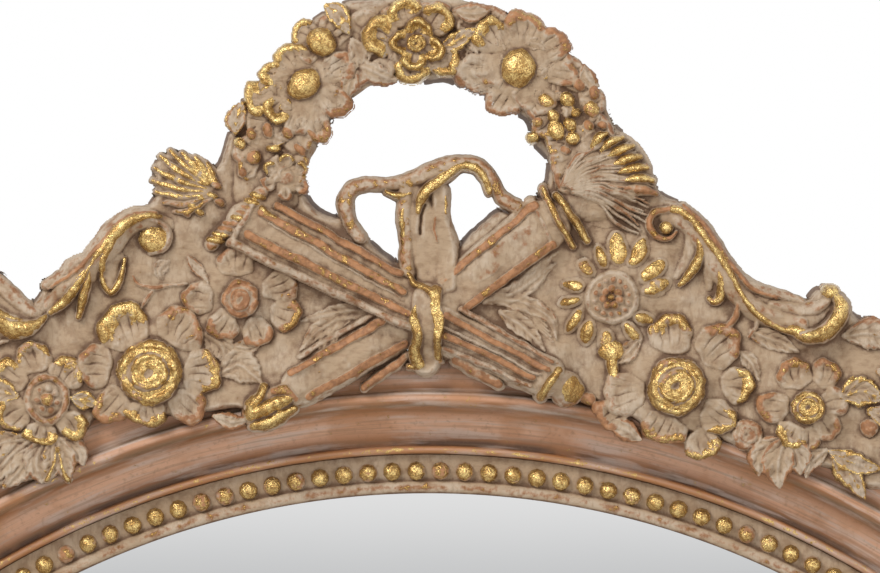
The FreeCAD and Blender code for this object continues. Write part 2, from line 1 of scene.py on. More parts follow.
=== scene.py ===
import bpy
import json
import math
import numpy as np
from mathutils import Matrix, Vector


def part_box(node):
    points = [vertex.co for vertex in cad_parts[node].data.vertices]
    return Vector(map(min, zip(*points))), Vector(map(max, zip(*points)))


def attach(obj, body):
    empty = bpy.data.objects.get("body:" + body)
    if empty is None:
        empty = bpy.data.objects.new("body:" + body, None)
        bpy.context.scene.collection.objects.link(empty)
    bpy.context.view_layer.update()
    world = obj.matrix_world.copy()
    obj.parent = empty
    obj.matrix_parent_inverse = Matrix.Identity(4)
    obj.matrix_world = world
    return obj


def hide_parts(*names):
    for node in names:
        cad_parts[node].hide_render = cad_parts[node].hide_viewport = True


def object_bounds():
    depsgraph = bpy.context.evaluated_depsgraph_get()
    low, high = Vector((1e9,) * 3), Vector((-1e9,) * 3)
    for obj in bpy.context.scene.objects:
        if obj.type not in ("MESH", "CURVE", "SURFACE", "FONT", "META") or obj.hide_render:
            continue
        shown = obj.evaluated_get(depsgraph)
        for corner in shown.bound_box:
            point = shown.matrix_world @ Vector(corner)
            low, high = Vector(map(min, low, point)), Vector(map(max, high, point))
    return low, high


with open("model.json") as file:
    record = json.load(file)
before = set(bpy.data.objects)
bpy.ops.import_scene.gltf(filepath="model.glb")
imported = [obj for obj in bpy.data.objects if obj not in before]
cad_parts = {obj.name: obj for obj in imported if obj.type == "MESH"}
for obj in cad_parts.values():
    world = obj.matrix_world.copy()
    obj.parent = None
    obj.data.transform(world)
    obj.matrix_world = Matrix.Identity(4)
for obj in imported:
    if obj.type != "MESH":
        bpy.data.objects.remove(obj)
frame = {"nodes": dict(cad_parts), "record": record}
cadBox = [list(map(float, corner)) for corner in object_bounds()]
nodes = frame["nodes"]

# Places on the crest are given in photograph pixels, heights above the crest's seat too
photo = dict(width=880, height=573, pixel=0.35e-3, axisX=428.3, arcY=1308.9)
mould = dict(endRadius=0.285, rise=0.145, width=0.050, back=-0.008, seat=-0.0423, boardBack=-0.0223,
             wreathSeat=-0.0463)
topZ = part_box("top_rail")[1].z - mould["endRadius"] - mould["width"]
ovalZ = topZ - mould["rise"]
sideRadius = mould["endRadius"] + mould["rise"] * math.sqrt(2)


def clearSelection():
    if bpy.context.object and bpy.context.object.mode != "OBJECT":
        bpy.ops.object.mode_set(mode="OBJECT")
    bpy.ops.object.select_all(action="DESELECT")


def editMode():
    bpy.ops.object.mode_set(mode="EDIT")


def objectMode():
    bpy.ops.object.mode_set(mode="OBJECT")


def coords(obj):
    co = np.empty(len(obj.data.vertices) * 3)
    obj.data.vertices.foreach_get("co", co)
    return co.reshape(-1, 3)


def setCoords(obj, co):
    obj.data.vertices.foreach_set("co", np.ascontiguousarray(co, np.float32).ravel())
    obj.data.update()


def paint(obj, **layers):
    for name, values in layers.items():
        layer = obj.data.attributes.get(name) or obj.data.attributes.new(name, "FLOAT", "POINT")
        layer.data.foreach_set("value", np.ascontiguousarray(values, np.float32).ravel())


def dress(obj, material, node=None, body="mirror"):
    obj.data.materials.clear()
    obj.data.materials.append(material)
    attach(obj, body)
    if node:
        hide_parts(node)


# shader sums
class Link:
    # a socket that takes part in sums
    def __init__(self, tree, socket=None):
        self.tree = tree
        self.socket = socket

    def node(self, kind, settings={}, inputs={}, out=0):
        made = self.tree.nodes.new("ShaderNode" + kind)
        for key, value in settings.items():
            if key == "stops":
                ramp = made.color_ramp
                while len(ramp.elements) < len(value):
                    ramp.elements.new(0.5)
                for element, (place, colour) in zip(ramp.elements, value):
                    element.position = place
                    element.color = colour
            else:
                setattr(made, key, value)
        for key, value in inputs.items():
            if isinstance(value, Link):
                self.tree.links.new(value.socket, made.inputs[key])
            else:
                made.inputs[key].default_value = value
        return Link(self.tree, made.outputs[out])

    def sum(self, operation, a, b):
        return self.node("Math", {"operation": operation}, {0: a, 1: b})

    def __add__(self, other):
        return self.sum("ADD", self, other)

    def __radd__(self, other):
        return self.sum("ADD", other, self)

    def __sub__(self, other):
        return self.sum("SUBTRACT", self, other)

    def __rsub__(self, other):
        return self.sum("SUBTRACT", other, self)

    def __mul__(self, other):
        return self.sum("MULTIPLY", self, other)

    def __rmul__(self, other):
        return self.sum("MULTIPLY", other, self)

    def ramp(self, low, high):
        return self.node("MapRange", {"interpolation_type": "SMOOTHSTEP"},
                         {0: self, 1: low, 2: high, 3: 0.0, 4: 1.0})

    def blend(self, a, b):
        return self.node("Mix", {"data_type": "RGBA"}, {0: self, 6: a, 7: b}, 2)

    def noise(self, scale, detail=4.0, rough=0.55):
        return self.node("TexNoise", {},
                         {"Vector": self, "Scale": scale, "Detail": detail, "Roughness": rough})

    def stretched(self, scale):
        return self.node("Mapping", {}, {0: self, 3: scale})

    def painted(self, name):
        return self.node("Attribute", {"attribute_name": name}, {}, 2)


def colour(red, green, blue):
    # written as seen on screen
    line = [(c / 255 / 12.92) if c < 11 else ((c / 255 + 0.055) / 1.055) ** 2.4 for c in (red, green, blue)]
    return (*line, 1.0)


def newMaterial(name, **settings):
    material = bpy.data.materials.new(name)
    material.use_nodes = True
    tree = material.node_tree
    shader = tree.nodes["Principled BSDF"]
    for key, value in settings.items():
        shader.inputs[key].default_value = value
    place = Link(tree).node("TexCoord", {}, {}, 3)
    return material, shader, place


def feed(shader, **links):
    for key, link in links.items():
        link.tree.links.new(link.socket, shader.inputs[key.replace("_", " ")])


def bump(height, strength, distance):
    return height.node("Bump", {}, {"Strength": strength, "Distance": distance, "Height": height})


tones = dict(taupe=colour(174, 148, 119), pale=colour(190, 170, 147), copper=colour(178, 122, 76),
             rust=colour(142, 93, 55),
             gold=colour(228, 198, 130), brass=colour(170, 132, 74), dark=colour(92, 62, 40),
             umber=colour(134, 104, 75),
             cove=colour(216, 168, 136), clay=colour(194, 146, 114), lilac=colour(204, 184, 170))


def patinaMaterial():
    # taupe wash over copper, with worn gold leaf on what stands out; ridges are painted paler as highlight
    # and creases painted darker as shade
    material, shader, place = newMaterial("patina")
    gold, copper = place.painted("gold"), place.painted("copper")
    ridge, crease = place.painted("ridge"), place.painted("crease")
    cloud, patch = place.noise(70.0), place.noise(230.0, 3.0)
    grain, speck = place.noise(560.0), place.noise(1700.0, 3.0)
    way = cloud.ramp(0.46, 0.54)
    upright = place.stretched((1.0, 1.0, 0.3)).noise(800.0, 3.0)
    level = place.stretched((0.3, 1.0, 1.0)).noise(800.0, 3.0)
    brush = upright * way + level * (1.0 - way)
    # the cloudy taupe wash, turned paler on ridges as a painted highlight
    washAndHighlight = (cloud * 0.7 + ridge * 0.35).ramp(0.3, 0.62).blend(tones["taupe"], tones["pale"])
    washAndHighlight = (patch.ramp(0.46, 0.68) * 0.5).blend(washAndHighlight, tones["umber"])
    washAndHighlight = (brush.ramp(0.48, 0.66) * 0.32).blend(washAndHighlight, tones["umber"])
    worn = copper * 0.5 + gold * 0.35 + ridge * 0.4 + (patch - 0.5) * 1.1 + (grain - 0.5) * 1.0
    worn = worn.ramp(0.42, 0.82)
    red = (patch * 0.5 + grain * 0.5).ramp(0.40, 0.58).blend(tones["copper"], tones["rust"])
    base = (worn * 0.92).blend(washAndHighlight, red)
    # darker brown in concave places: grime in the hollows together with painted shade in the creases
    grimeAndShade = (crease * (0.2 + patch * 1.3) + (speck - 0.5) * 0.4).ramp(0.12, 0.9) * 0.85
    base = grimeAndShade.blend(base, tones["dark"])
    leafed = gold * 1.05 + ridge * 0.1 - crease * 0.45 + (patch - 0.5) * 1.5 + (grain - 0.5) * 1.3
    leafed = leafed.ramp(0.40, 0.54)
    leaf = (speck * 0.4 + grain * 0.35 + patch * 0.25).ramp(0.42, 0.56).blend(tones["gold"], tones["brass"])
    leaf = (speck.ramp(0.56, 0.68) * 0.55).blend(leaf, tones["dark"])
    pitting = patch * 0.6 + brush * 0.3 + grain * (leafed * 1.0 + 0.6) + speck * (leafed * 0.7 + 0.4)
    feed(shader, Base_Color=(leafed * 0.95).blend(base, leaf), Metallic=leafed * 0.75,
         Roughness=0.72 - leafed * 0.42 - worn * 0.1 + (speck - 0.5) * 0.25,
         Normal=bump(pitting, 0.6, 0.0005))
    return material


# carved relief
field = dict(left=-190.0, right=1050.0, top=-14.0, bottom=640.0, step=1.05,
             mostTriangles=180000)
lattices = {}


def ease(a, b, x):
    t = np.clip((x - a) / (b - a), 0, 1)
    return t * t * (3 - 2 * t)


def noise(x, y, size, seed):
    if seed not in lattices:
        lattices[seed] = np.random.RandomState(seed).rand(64, 64) * 2 - 1
    lattice = lattices[seed]
    u, v = x / size + 640, y / size + 640
    i, j = u.astype(int), v.astype(int)
    fu, fv = u - i, v - j
    fu, fv = fu * fu * (3 - 2 * fu), fv * fv * (3 - 2 * fv)
    i, j, k, m = i % 64, j % 64, (i + 1) % 64, (j + 1) % 64
    upper = lattice[j, i] * (1 - fu) + lattice[j, k] * fu
    return upper * (1 - fv) + (lattice[m, i] * (1 - fu) + lattice[m, k] * fu) * fv


def rough(x, y, size, seed):
    return sum(noise(x, y, size / 2 ** k, seed + k) / 2 ** k for k in range(3))


def smoothPath(points, closed=False, steps=6):
    pts = np.array(points, float)
    count = len(pts)
    out = []
    for k in range(count if closed else count - 1):
        spots = range(k - 1, k + 3)
        a, b, c, d = [pts[m % count if closed else min(max(m, 0), count - 1)] for m in spots]
        for t in np.linspace(0, 1, steps, endpoint=False):
            out.append(0.5 * (2 * b + (c - a) * t + (2 * a - 5 * b + 4 * c - d) * t * t
                              + (3 * b - a - 3 * c + d) * t ** 3))
    if not closed:
        out.append(pts[-1])
    return np.array(out)


def signedDistance(x, y, path):
    best = np.full(x.shape, 1e9)
    inside = np.zeros(x.shape, bool)
    for (ax, ay), (bx, by) in zip(path, np.roll(path, -1, axis=0)):
        dx, dy = bx - ax, by - ay
        t = np.clip(((x - ax) * dx + (y - ay) * dy) / (dx * dx + dy * dy + 1e-9), 0, 1)
        best = np.minimum(best, (x - ax - t * dx) ** 2 + (y - ay - t * dy) ** 2)
        if ay != by:
            inside ^= ((ay > y) != (by > y)) & (x < dx * (y - ay) / (by - ay) + ax)
    return np.where(inside, 1, -1) * np.sqrt(best)


def bilinear(values, u, v):
    # values at fractional columns u and rows v
    u = np.clip(u, 0, values.shape[1] - 1.001)
    v = np.clip(v, 0, values.shape[0] - 1.001)
    i, j = u.astype(int), v.astype(int)
    fu, fv = u - i, v - j
    upper = values[j, i] * (1 - fu) + values[j, i + 1] * fu
    return upper * (1 - fv) + (values[j + 1, i] * (1 - fu) + values[j + 1, i + 1] * fu) * fv


def blur(values, radius):
    n = max(1, int(round(radius / field["step"])))
    for axis in (0, 1, 0, 1):
        pad = [(0, 0), (0, 0)]
        pad[axis] = (n + 1, n)
        total = np.cumsum(np.pad(values, pad, mode="edge"), axis=axis)
        size = total.shape[axis]
        wide = 2 * n + 1
        ahead = np.take(total, range(wide, size), axis=axis)
        behind = np.take(total, range(size - wide), axis=axis)
        values = (ahead - behind) / wide
    return values


class Relief:
    # heights in pixels over the crest's seat; ornaments are laid over a softly swelling base
    def __init__(self):
        xs = np.arange(field["left"], field["right"], field["step"])
        ys = np.arange(field["top"], field["bottom"], field["step"])
        self.x, self.y = np.meshgrid(xs, ys)
        # every outline wavers a little, as carved by hand
        self.wx = self.x + 1.2 * rough(self.x, self.y, 17, 3)
        self.wy = self.y + 1.2 * rough(self.x, self.y, 17, 23)
        self.base = np.zeros(self.x.shape)
        self.height = np.full(self.x.shape, -99.0)
        self.gold = np.zeros(self.x.shape)
        self.copper = np.zeros(self.x.shape)
        self.owner = np.zeros(self.x.shape, int)
        self.names = []
        self.under = {}
        self.fall = 60 * ease(0, -7, self.y) ** 2  # nothing stands over the crest's top

    def patch(self, x0, y0, x1, y1):
        def index(value, start):
            return max(0, int((value - start) / field["step"]))
        rows = slice(index(y0, field["top"]), index(y1, field["top"]) + 2)
        box = (rows, slice(index(x0, field["left"]), index(x1, field["left"]) + 2))
        return box, self.wx[box], self.wy[box]

    def lay(self, box, name, local, gold=0.0, copper=0.0, soft=2.0):
        if name not in self.names:
            self.names.append(name)
        old = self.height[box].copy()
        height = np.where(local > -90, local + self.base[box] - self.fall[box], -99)
        near = np.where((height > -90) & (old > -90), np.clip(soft - np.abs(height - old), 0, None), 0)
        share = ease(-0.5 * soft, 0.5 * soft, height - old)
        self.height[box] = np.maximum(height, old) + near ** 2 / (4 * soft)
        self.gold[box] += (gold - self.gold[box]) * share
        self.copper[box] += (copper - self.copper[box]) * share
        self.owner[box] = np.where(height > old, self.names.index(name), self.owner[box])

    def keep(self, name):
        # the field of a piece that lies under others
        self.under[name] = np.where(self.owner == self.names.index(name), self.height, -99.0)

    def swell(self, points, radius, height):
        # a soft rise of the base, and of the ground with it, round a point or along a line
        box, x, y, d, *_ = self.along(points if len(points) > 1 else points * 2, radius + 6)
        lift = height * ease(radius, radius * 0.15, d)
        self.base[box] += lift
        self.height[box] += np.where(self.height[box] > -30, lift, 0)

    def petal(self, name, hub, shape, ribs=4.6):
        # shallow shell with a rolled lip, open away from the hub
        # shape: centre, half length, half width, rise, gold, copper
        cx, cy, a, b, rise, gold, copper = shape
        m = a + b
        box, x, y = self.patch(cx - m, cy - m, cx + m, cy + m)
        dx, dy = cx - hub[0], cy - hub[1]
        n = math.hypot(dx, dy)
        u = ((x - cx) * dx + (y - cy) * dy) / n / a
        v = ((y - cy) * dx - (x - cx) * dy) / n / b
        seed = int(cx * 7 + cy * 13) % 997
        phi = np.arctan2(v, u)
        e = np.hypot(u, v) * (1 + 0.06 * np.sin(3 * phi + seed) + 0.03 * np.sin(7 * phi + seed * 2))
        outward = ease(-0.6, 0.5, u)
        h = rise * (0.38 + 0.62 * ease(0.2, 0.76, e) * outward)
        angle = np.arctan2(y - hub[1], x - hub[0])
        line = np.sin(angle * n * math.pi / ribs + 1.6 * noise(x, y, 14, seed + 5))
        h = h - 1.9 * np.clip(line, 0, 1) ** 6 * ease(-0.9, -0.2, u) * ease(0.84, 0.6, e)
        h = h + 0.8 * noise(x, y, 9, seed + 9)
        h = h * np.sqrt(1 - np.clip((e - 0.72) / 0.38, 0, 1) ** 2) - 4 * ease(0.98, 1.12, e)
        zone = ease(0.1, 0.7, e + 0.3 * noise(x, y, 9, seed + 3)) * ease(-0.5, 0.3, u)
        broad = np.clip(zone * (1 + 1.2 * max(0, gold - 0.6)) + 0.6 * max(0, gold - 0.8), 0, 1)
        self.lay(box, name, np.where(e > 1.12, -99, h), gold * broad, copper * zone, 2.0)

    def mound(self, name, centre, radius, rise, edge=8.0, gold=0.0, copper=0.0):
        cx, cy = centre
        m = radius + edge + 4
        box, x, y = self.patch(cx - m, cy - m, cx + m, cy + m)
        r = np.hypot(x - cx, y - cy)
        h = rise - (rise + 3) * ease(radius - edge, radius + edge, r) + 0.7 * noise(x, y, 9, int(abs(cx)))
        self.lay(box, name, np.where(r > radius + edge, -99, h), gold, copper, 3.0)

    def dome(self, name, centre, half, rise, tilt=0.0, gold=0.0, copper=0.0):
        cx, cy = centre
        a, b = half if isinstance(half, tuple) else (half, half)
        m = max(a, b) * 1.2 + 2
        box, x, y = self.patch(cx - m, cy - m, cx + m, cy + m)
        c, s = math.cos(math.radians(tilt)), math.sin(math.radians(tilt))
        u = ((x - cx) * c + (y - cy) * s) / a
        v = ((y - cy) * c - (x - cx) * s) / b
        e = np.hypot(u, v) * (1 + 0.06 * noise(x, y, 9, int(abs(cx * 3 + cy))))
        h = rise * np.sqrt(np.clip(1 - e ** 2, 0, 1)) ** 0.9
        h = h + 0.7 * noise(x, y, 6, int(abs(cx * 5 + cy)))
        h = np.where(e > 1, -1.5 - 6 * (e - 1) * max(a, b), h)
        self.lay(box, name, np.where(e > 1.15, -99, h), gold, copper, 1.6)

    def along(self, points, reach):
        # patch round a smooth line: distance from it, share of its length and side
        path = smoothPath(points)
        low, high = path.min(0) - reach, path.max(0) + reach
        box, x, y = self.patch(low[0], low[1], high[0], high[1])
        best = np.full(x.shape, 1e9)
        at = np.zeros(x.shape)
        side = np.zeros(x.shape)
        lengths = np.hypot(*np.diff(path, axis=0).T)
        run = np.concatenate(([0], np.cumsum(lengths)))
        for k, (ax, ay) in enumerate(path[:-1]):
            dx, dy = path[k + 1] - path[k]
            t = np.clip(((x - ax) * dx + (y - ay) * dy) / (dx * dx + dy * dy + 1e-9), 0, 1)
            d = (x - ax - t * dx) ** 2 + (y - ay - t * dy) ** 2
            near = d < best
            best = np.where(near, d, best)
            at = np.where(near, (run[k] + t * lengths[k]) / max(run[-1], 1e-6), at)
            side = np.where(near, np.sign((x - ax) * dy - (y - ay) * dx), side)
        return box, x, y, np.sqrt(best), at, side, run[-1], int(abs(path[0] @ (3, 1)))

    def strand(self, name, points, widths, rise, gold=0.0, copper=0.0, flat=0.0, soft=1.8):
        # moulded run along a smooth line; half widths and heights go from its first point to its last
        box, x, y, d, at, side, length, seed = self.along(points, max(widths) + 4)
        half = np.maximum(np.interp(at, np.linspace(0, 1, len(widths)), widths), 0.3)
        rises = np.interp(at, np.linspace(0, 1, len(rise)), rise) if isinstance(rise, tuple) else rise
        e = d / half
        q = np.clip((e - flat) / (1 - flat), 0, 1)
        h = rises * np.clip(1 - q ** 2, 0, 1) ** 0.7 + 0.6 * noise(x, y, 7, seed)
        h = np.where(e > 1, -1.5 - 2.5 * (d - half), h)
        h = np.where(d > half + 3, -99, h)
        self.lay(box, name, h, gold * ease(1.1, 0.5, e), copper * ease(1.1, 0.6, e), soft)

    def cut(self, points, widths, depth, clean=0.0):
        # a groove in what is there; it may take the gold and copper with it
        box, x, y, d, at, side, length, seed = self.along(points, max(widths) * 2 + 2)
        half = np.maximum(np.interp(at, np.linspace(0, 1, len(widths)), widths), 0.3)
        bite = np.exp(-(d / half) ** 2)
        self.height[box] -= np.where(self.height[box] > -30, depth * bite, 0)
        self.gold[box] *= 1 - clean * bite
        self.copper[box] *= 1 - clean * bite

    def leaf(self, name, points, width, rise, veins=5, gold=0.0, copper=0.0, notch=0.06, goldVeins=0.0):
        # blade along a smooth line, with a midrib and slanting side veins
        box, x, y, d, at, side, length, seed = self.along(points, width + 4)
        vein = np.sin((at - d * 1.3 / length) * veins * 2 * math.pi)
        half = width * np.sin(math.pi * np.clip(at * 0.94 + 0.05, 0, 1) ** 0.85) * (1 + notch * vein) + 0.3
        e = d / half
        rise = rise * (0.55 + 0.45 * np.sin(math.pi * np.clip(at * 0.9 + 0.08, 0, 1)))
        h = rise * (0.78 + 0.22 * ease(0.0, 0.75, e))
        h = h - 1.3 * np.clip(vein, 0, 1) ** 4 * ease(0.06, 0.4, e) * ease(1.0, 0.7, e)
        h = h + 1.2 * np.exp(-(d / 1.7) ** 2) - 0.9 * np.exp(-((d - 3.2) / 1.4) ** 2)
        h = h + 0.8 * noise(x, y, 8, seed)
        h = h - (rise + 4) * ease(0.88, 1.12, e)
        edge = ease(0.45, 0.9, e)
        leafing = np.maximum(gold * edge, goldVeins * (ease(0.2, 0.9, -vein) + np.exp(-(d / 2.2) ** 2)))
        self.lay(box, name, np.where(e > 1.14, -99, h), leafing, copper * edge, 2.0)

    def bar(self, name, a, b, widths, rise, copper=0.0, gold=0.0, flat=0.55):
        middle = ((a[0] + b[0]) / 2, (a[1] + b[1]) / 2)
        self.strand(name, [a, middle, b], widths, rise, gold, copper * 1.4, flat, soft=1.2)

    def circle(self, name, centre, radii, widths, rise, start=0.0, span=360.0, **finish):
        self.strand(name, roundPath(centre, radii, start, span), widths, rise, **finish)


def roundPath(centre, radii, start=0.0, span=360.0):
    angles = np.radians(np.linspace(start, start + span, 17))
    return [(centre[0] + radii[0] * math.cos(a), centre[1] + radii[1] * math.sin(a)) for a in angles]


ground = dict(
    outline=[(-190, 470), (-165, 430), (-140, 398), (-105, 372), (-70, 345), (-45, 305), (-25, 282),
             (-8, 270), (10, 283), (30, 299), (41, 281),
             (55, 276), (72, 262), (86, 249), (100, 231), (118, 214), (138, 207), (148, 200), (152, 188),
             (150, 165), (163, 150), (180, 150),
             (200, 157), (213, 163), (222, 145), (232, 112), (245, 90), (262, 77), (285, 54), (297, 28),
             (316, 12), (335, 2), (360, -4), (430, -7),
             (480, 6), (520, 14), (545, 27), (562, 40), (575, 68), (592, 83), (610, 112), (628, 131),
             (648, 152), (660, 185), (680, 199), (702, 217),
             (722, 247), (745, 274), (768, 289), (790, 293), (803, 300), (815, 288), (833, 284), (846, 302),
             (860, 314), (890, 322), (920, 350),
             (950, 376), (990, 410), (1020, 440), (1046, 476), (1030, 520), (1000, 520), (960, 500),
             (925, 492), (890, 495), (860, 490), (830, 474),
             (800, 470), (775, 478), (752, 462), (725, 446), (690, 437), (650, 431), (610, 413), (575, 398),
             (545, 385), (515, 368), (490, 354),
             (462, 347), (430, 352), (395, 352), (372, 362), (345, 380), (310, 396), (285, 416), (262, 424),
             (235, 412), (200, 418), (165, 420),
             (130, 424), (100, 418), (86, 440), (70, 470), (45, 480), (10, 490), (-30, 498), (-70, 500),
             (-110, 505), (-150, 522), (-180, 524)],
    opening=[(306, 182), (308, 164), (318, 144), (328, 124), (345, 103), (352, 90), (376, 82), (402, 80),
             (425, 84), (450, 83), (484, 97), (505, 108),
             (526, 124), (530, 142), (545, 160), (543, 182), (530, 200), (514, 208), (498, 206), (478, 222),
             (455, 243), (436, 258), (416, 266),
             (398, 259), (378, 245), (362, 230), (345, 216), (332, 214), (316, 204)],
    coarse=3.0, edge=10.0, drop=68.0, level=4.0, swell=3.0, ripple=1.1)


def layGround(r):
    xs, ys = np.meshgrid(np.arange(field["left"] - 6, field["right"] + 12, ground["coarse"]),
                         np.arange(field["top"] - 6, field["bottom"] + 12, ground["coarse"]))
    d = signedDistance(xs, ys, smoothPath(ground["outline"], True, 4))
    d = np.minimum(d, -signedDistance(xs, ys, smoothPath(ground["opening"], True, 4)))
    d = bilinear(d, (r.wx - xs[0, 0]) / ground["coarse"], (r.wy - ys[0, 0]) / ground["coarse"])
    r.base[:] = ground["level"] + ground["swell"] * rough(r.x, r.y, 46, 41)
    r.base += ground["ripple"] * rough(r.x, r.y, 15, 47)
    h = -ground["drop"] * np.clip(1 - d / ground["edge"], 0, 2) ** 3
    r.lay((slice(None), slice(None)), "crest_board", np.where(d > -4, h, -99), 0.0, 0.5 * ease(9, 1, d))


swells = [([(149, 372)], 74, 13), ([(677, 388)], 74, 13), ([(240, 299)], 58, 9), ([(47, 400)], 60, 11),
          ([(807, 407)], 58, 11), ([(612, 298)], 58, 9),
          ([(256, 224), (428, 318), (548, 372)], 42, 13), ([(552, 224), (452, 296)], 42, 11),
          ([(390, 330), (296, 384)], 36, 10),
          ([(140, 216), (104, 240), (70, 280)], 30, 9), ([(690, 220), (730, 274), (800, 330)], 30, 9),
          ([(-20, 300), (30, 322)], 34, 9), ([(812, 330), (840, 300)], 30, 9),
          ([(180, 170), (205, 195)], 40, 7), ([(600, 160), (630, 170)], 50, 8), ([(268, 404)], 36, 8),
          ([(560, 386)], 34, 8),
          ([(900, 400), (980, 450)], 60, 8), ([(-40, 400), (-120, 450)], 60, 8), ([(427, 318)], 44, 6)]


# leaf sprigs low in the ground: points, half width, rise, gold, copper
sprigs = [([(372, 312), (340, 312), (300, 322)], 9, 4, 0.0, 0.5),
          ([(352, 316), (322, 328), (300, 350)], 10, 4, 0.0, 0.5),
          ([(340, 320), (326, 344), (322, 362)], 8, 3, 0.0, 0.4),
          ([(484, 302), (512, 300), (548, 316), (556, 340)], 9, 4, 0.0, 0.6),
          ([(486, 300), (520, 290), (556, 262)], 10, 4, 0.0, 0.3),
          ([(500, 312), (520, 324), (546, 352)], 10, 4, 0.0, 0.4),
          ([(516, 296), (540, 272), (552, 256)], 8, 3, 0.0, 0.2),
          ([(222, 372), (240, 366), (262, 382)], 17, 5, 0.0, 0.2),
          ([(206, 334), (220, 346), (226, 364)], 14, 4, 0.0, 0.3),
          ([(232, 346), (246, 348), (262, 340)], 9, 4, 0.0, 0.5),
          ([(187, 256), (196, 268), (208, 284)], 5, 5, 0.1, 1.0),
          ([(214, 416), (232, 421), (250, 418)], 8, 6, 0.1, 0.95),
          ([(168, 262), (160, 270), (163, 280)], 7, 3, 0.0, 0.2),
          ([(640, 340), (628, 352), (606, 362)], 9, 4, 0.1, 0.7),
          ([(750, 330), (772, 340), (800, 352)], 10, 4, 0.0, 0.5),
          ([(740, 352), (752, 364), (760, 380)], 8, 3, 0.0, 0.4),
          ([(640, 440), (622, 428), (604, 420)], 9, 5, 0.1, 0.9)]


def laySprigs(r):
    n = "crest_board"
    for points, width, rise, gold, copper in sprigs:
        r.leaf(n, points, width, rise, 5, gold, copper)
    r.strand(n, [(134, 276), (140, 285), (160, 287), (186, 283)], (1.5, 3, 2.6, 1), 4, copper=0.8)
    r.strand(n, [(152, 291), (146, 300), (140, 310)], (2.2, 2.6, 1), 3.4, copper=0.7)
    for k in range(5):  # flowing lines beside the panelled quiver
        r.strand(n, [(496 + 3 * k, 300 + 2 * k), (522, 303 + 3 * k), (545 + 2 * k, 322 + 5 * k)],
                 (0.8, 1.8, 1), 2.2, copper=0.7)
        r.strand(n, [(500 + 5 * k, 292 - 3 * k), (520 + 5 * k, 286 - 6 * k), (546 + 3 * k, 264 - 3 * k)],
                 (0.8, 1.8, 1), 2.2, copper=0.3)


flame = dict(root=(562, 196), tips=[(607, 133), (622, 137), (633, 146), (641, 157), (648, 168), (653, 180),
                                    (656, 193)], hairs=30, gilded=6)


def layFlame(r):
    # combed hair that ends in gilded curls
    n = "flame_tail"
    r.mound(n, (604, 178), 38, 5, 12)
    rx, ry = flame["root"]
    for k in range(flame["hairs"]):
        t = k / (flame["hairs"] - 1)
        a = math.radians(60 - 84 * t)
        reach = 84 - 14 * abs(t - 0.4) + 5 * math.sin(k * 2.7)
        tip = (rx + 6 + reach * math.cos(a), ry + 6 - reach * math.sin(a))
        mid = (rx + 0.5 * reach * math.cos(a + 0.22), ry - 0.5 * reach * math.sin(a + 0.22))
        start = (rx + 10 * math.cos(a + 0.6), ry - 10 * math.sin(a + 0.6))
        wave = (mid[0] * 0.45 + tip[0] * 0.55 + 3.5 * math.sin(k * 1.9),
                mid[1] * 0.45 + tip[1] * 0.55 + 3.5 * math.cos(k * 1.3))
        r.strand(n, [start, mid, wave, tip], (1.1, 1.8, 2.2, 2.0, 1.0), (6, 8, 9, 8, 5), 0.0,
                 0.3 + 0.6 * (k % 3 == 0), soft=1.0)
    for k, (tx, ty) in enumerate(flame["tips"]):
        ix, iy = tx + (rx - tx) * 0.3 - 3, ty + (ry - ty) * 0.3 - 5
        r.strand(n, [(ix, iy), ((ix + tx) / 2, (iy + ty) / 2 - 2), (tx, ty)], (3, 6.2, 5.8, 3),
                 (8, 13, 14, 10), 0.9 if k < flame["gilded"] else 0.2, 0.9)


fletch = dict(tips=[(155, 168), (160, 157), (170, 151), (182, 152), (195, 157), (207, 164), (153, 180),
                    (156, 192), (163, 203), (174, 212)], root=(224, 194),
              lumps=[(216, 184), (206, 181), (212, 195), (219, 203), (201, 197), (192, 205), (186, 213),
                     (200, 213)])


def layFletching(r):
    # feathered vanes that fan out from the quiver's mouth
    n = "fletching"
    r.mound(n, (188, 186), 25, 3.5, 8)
    rx, ry = fletch["root"]
    for k, (tx, ty) in enumerate(fletch["tips"]):
        mid = ((rx + 2 * tx) / 3 + 1, (ry + 2 * ty) / 3 + 4)
        near = ((3 * rx + tx) / 4, (3 * ry + ty) / 4)
        r.strand(n, [near, mid, (tx, ty)], (1.6, 3.4, 4.2, 2.2), (4, 7, 8, 5), 0.62 if k < 8 else 0.3, 0.6)
        r.cut([mid, (tx, ty)], (0.7, 0.9), 1.6)
    for k, place in enumerate(fletch["lumps"]):
        r.dome(n, place, (5.5, 3.6), 8, 35, 0.75 if k % 3 else 0.2, 0.7)


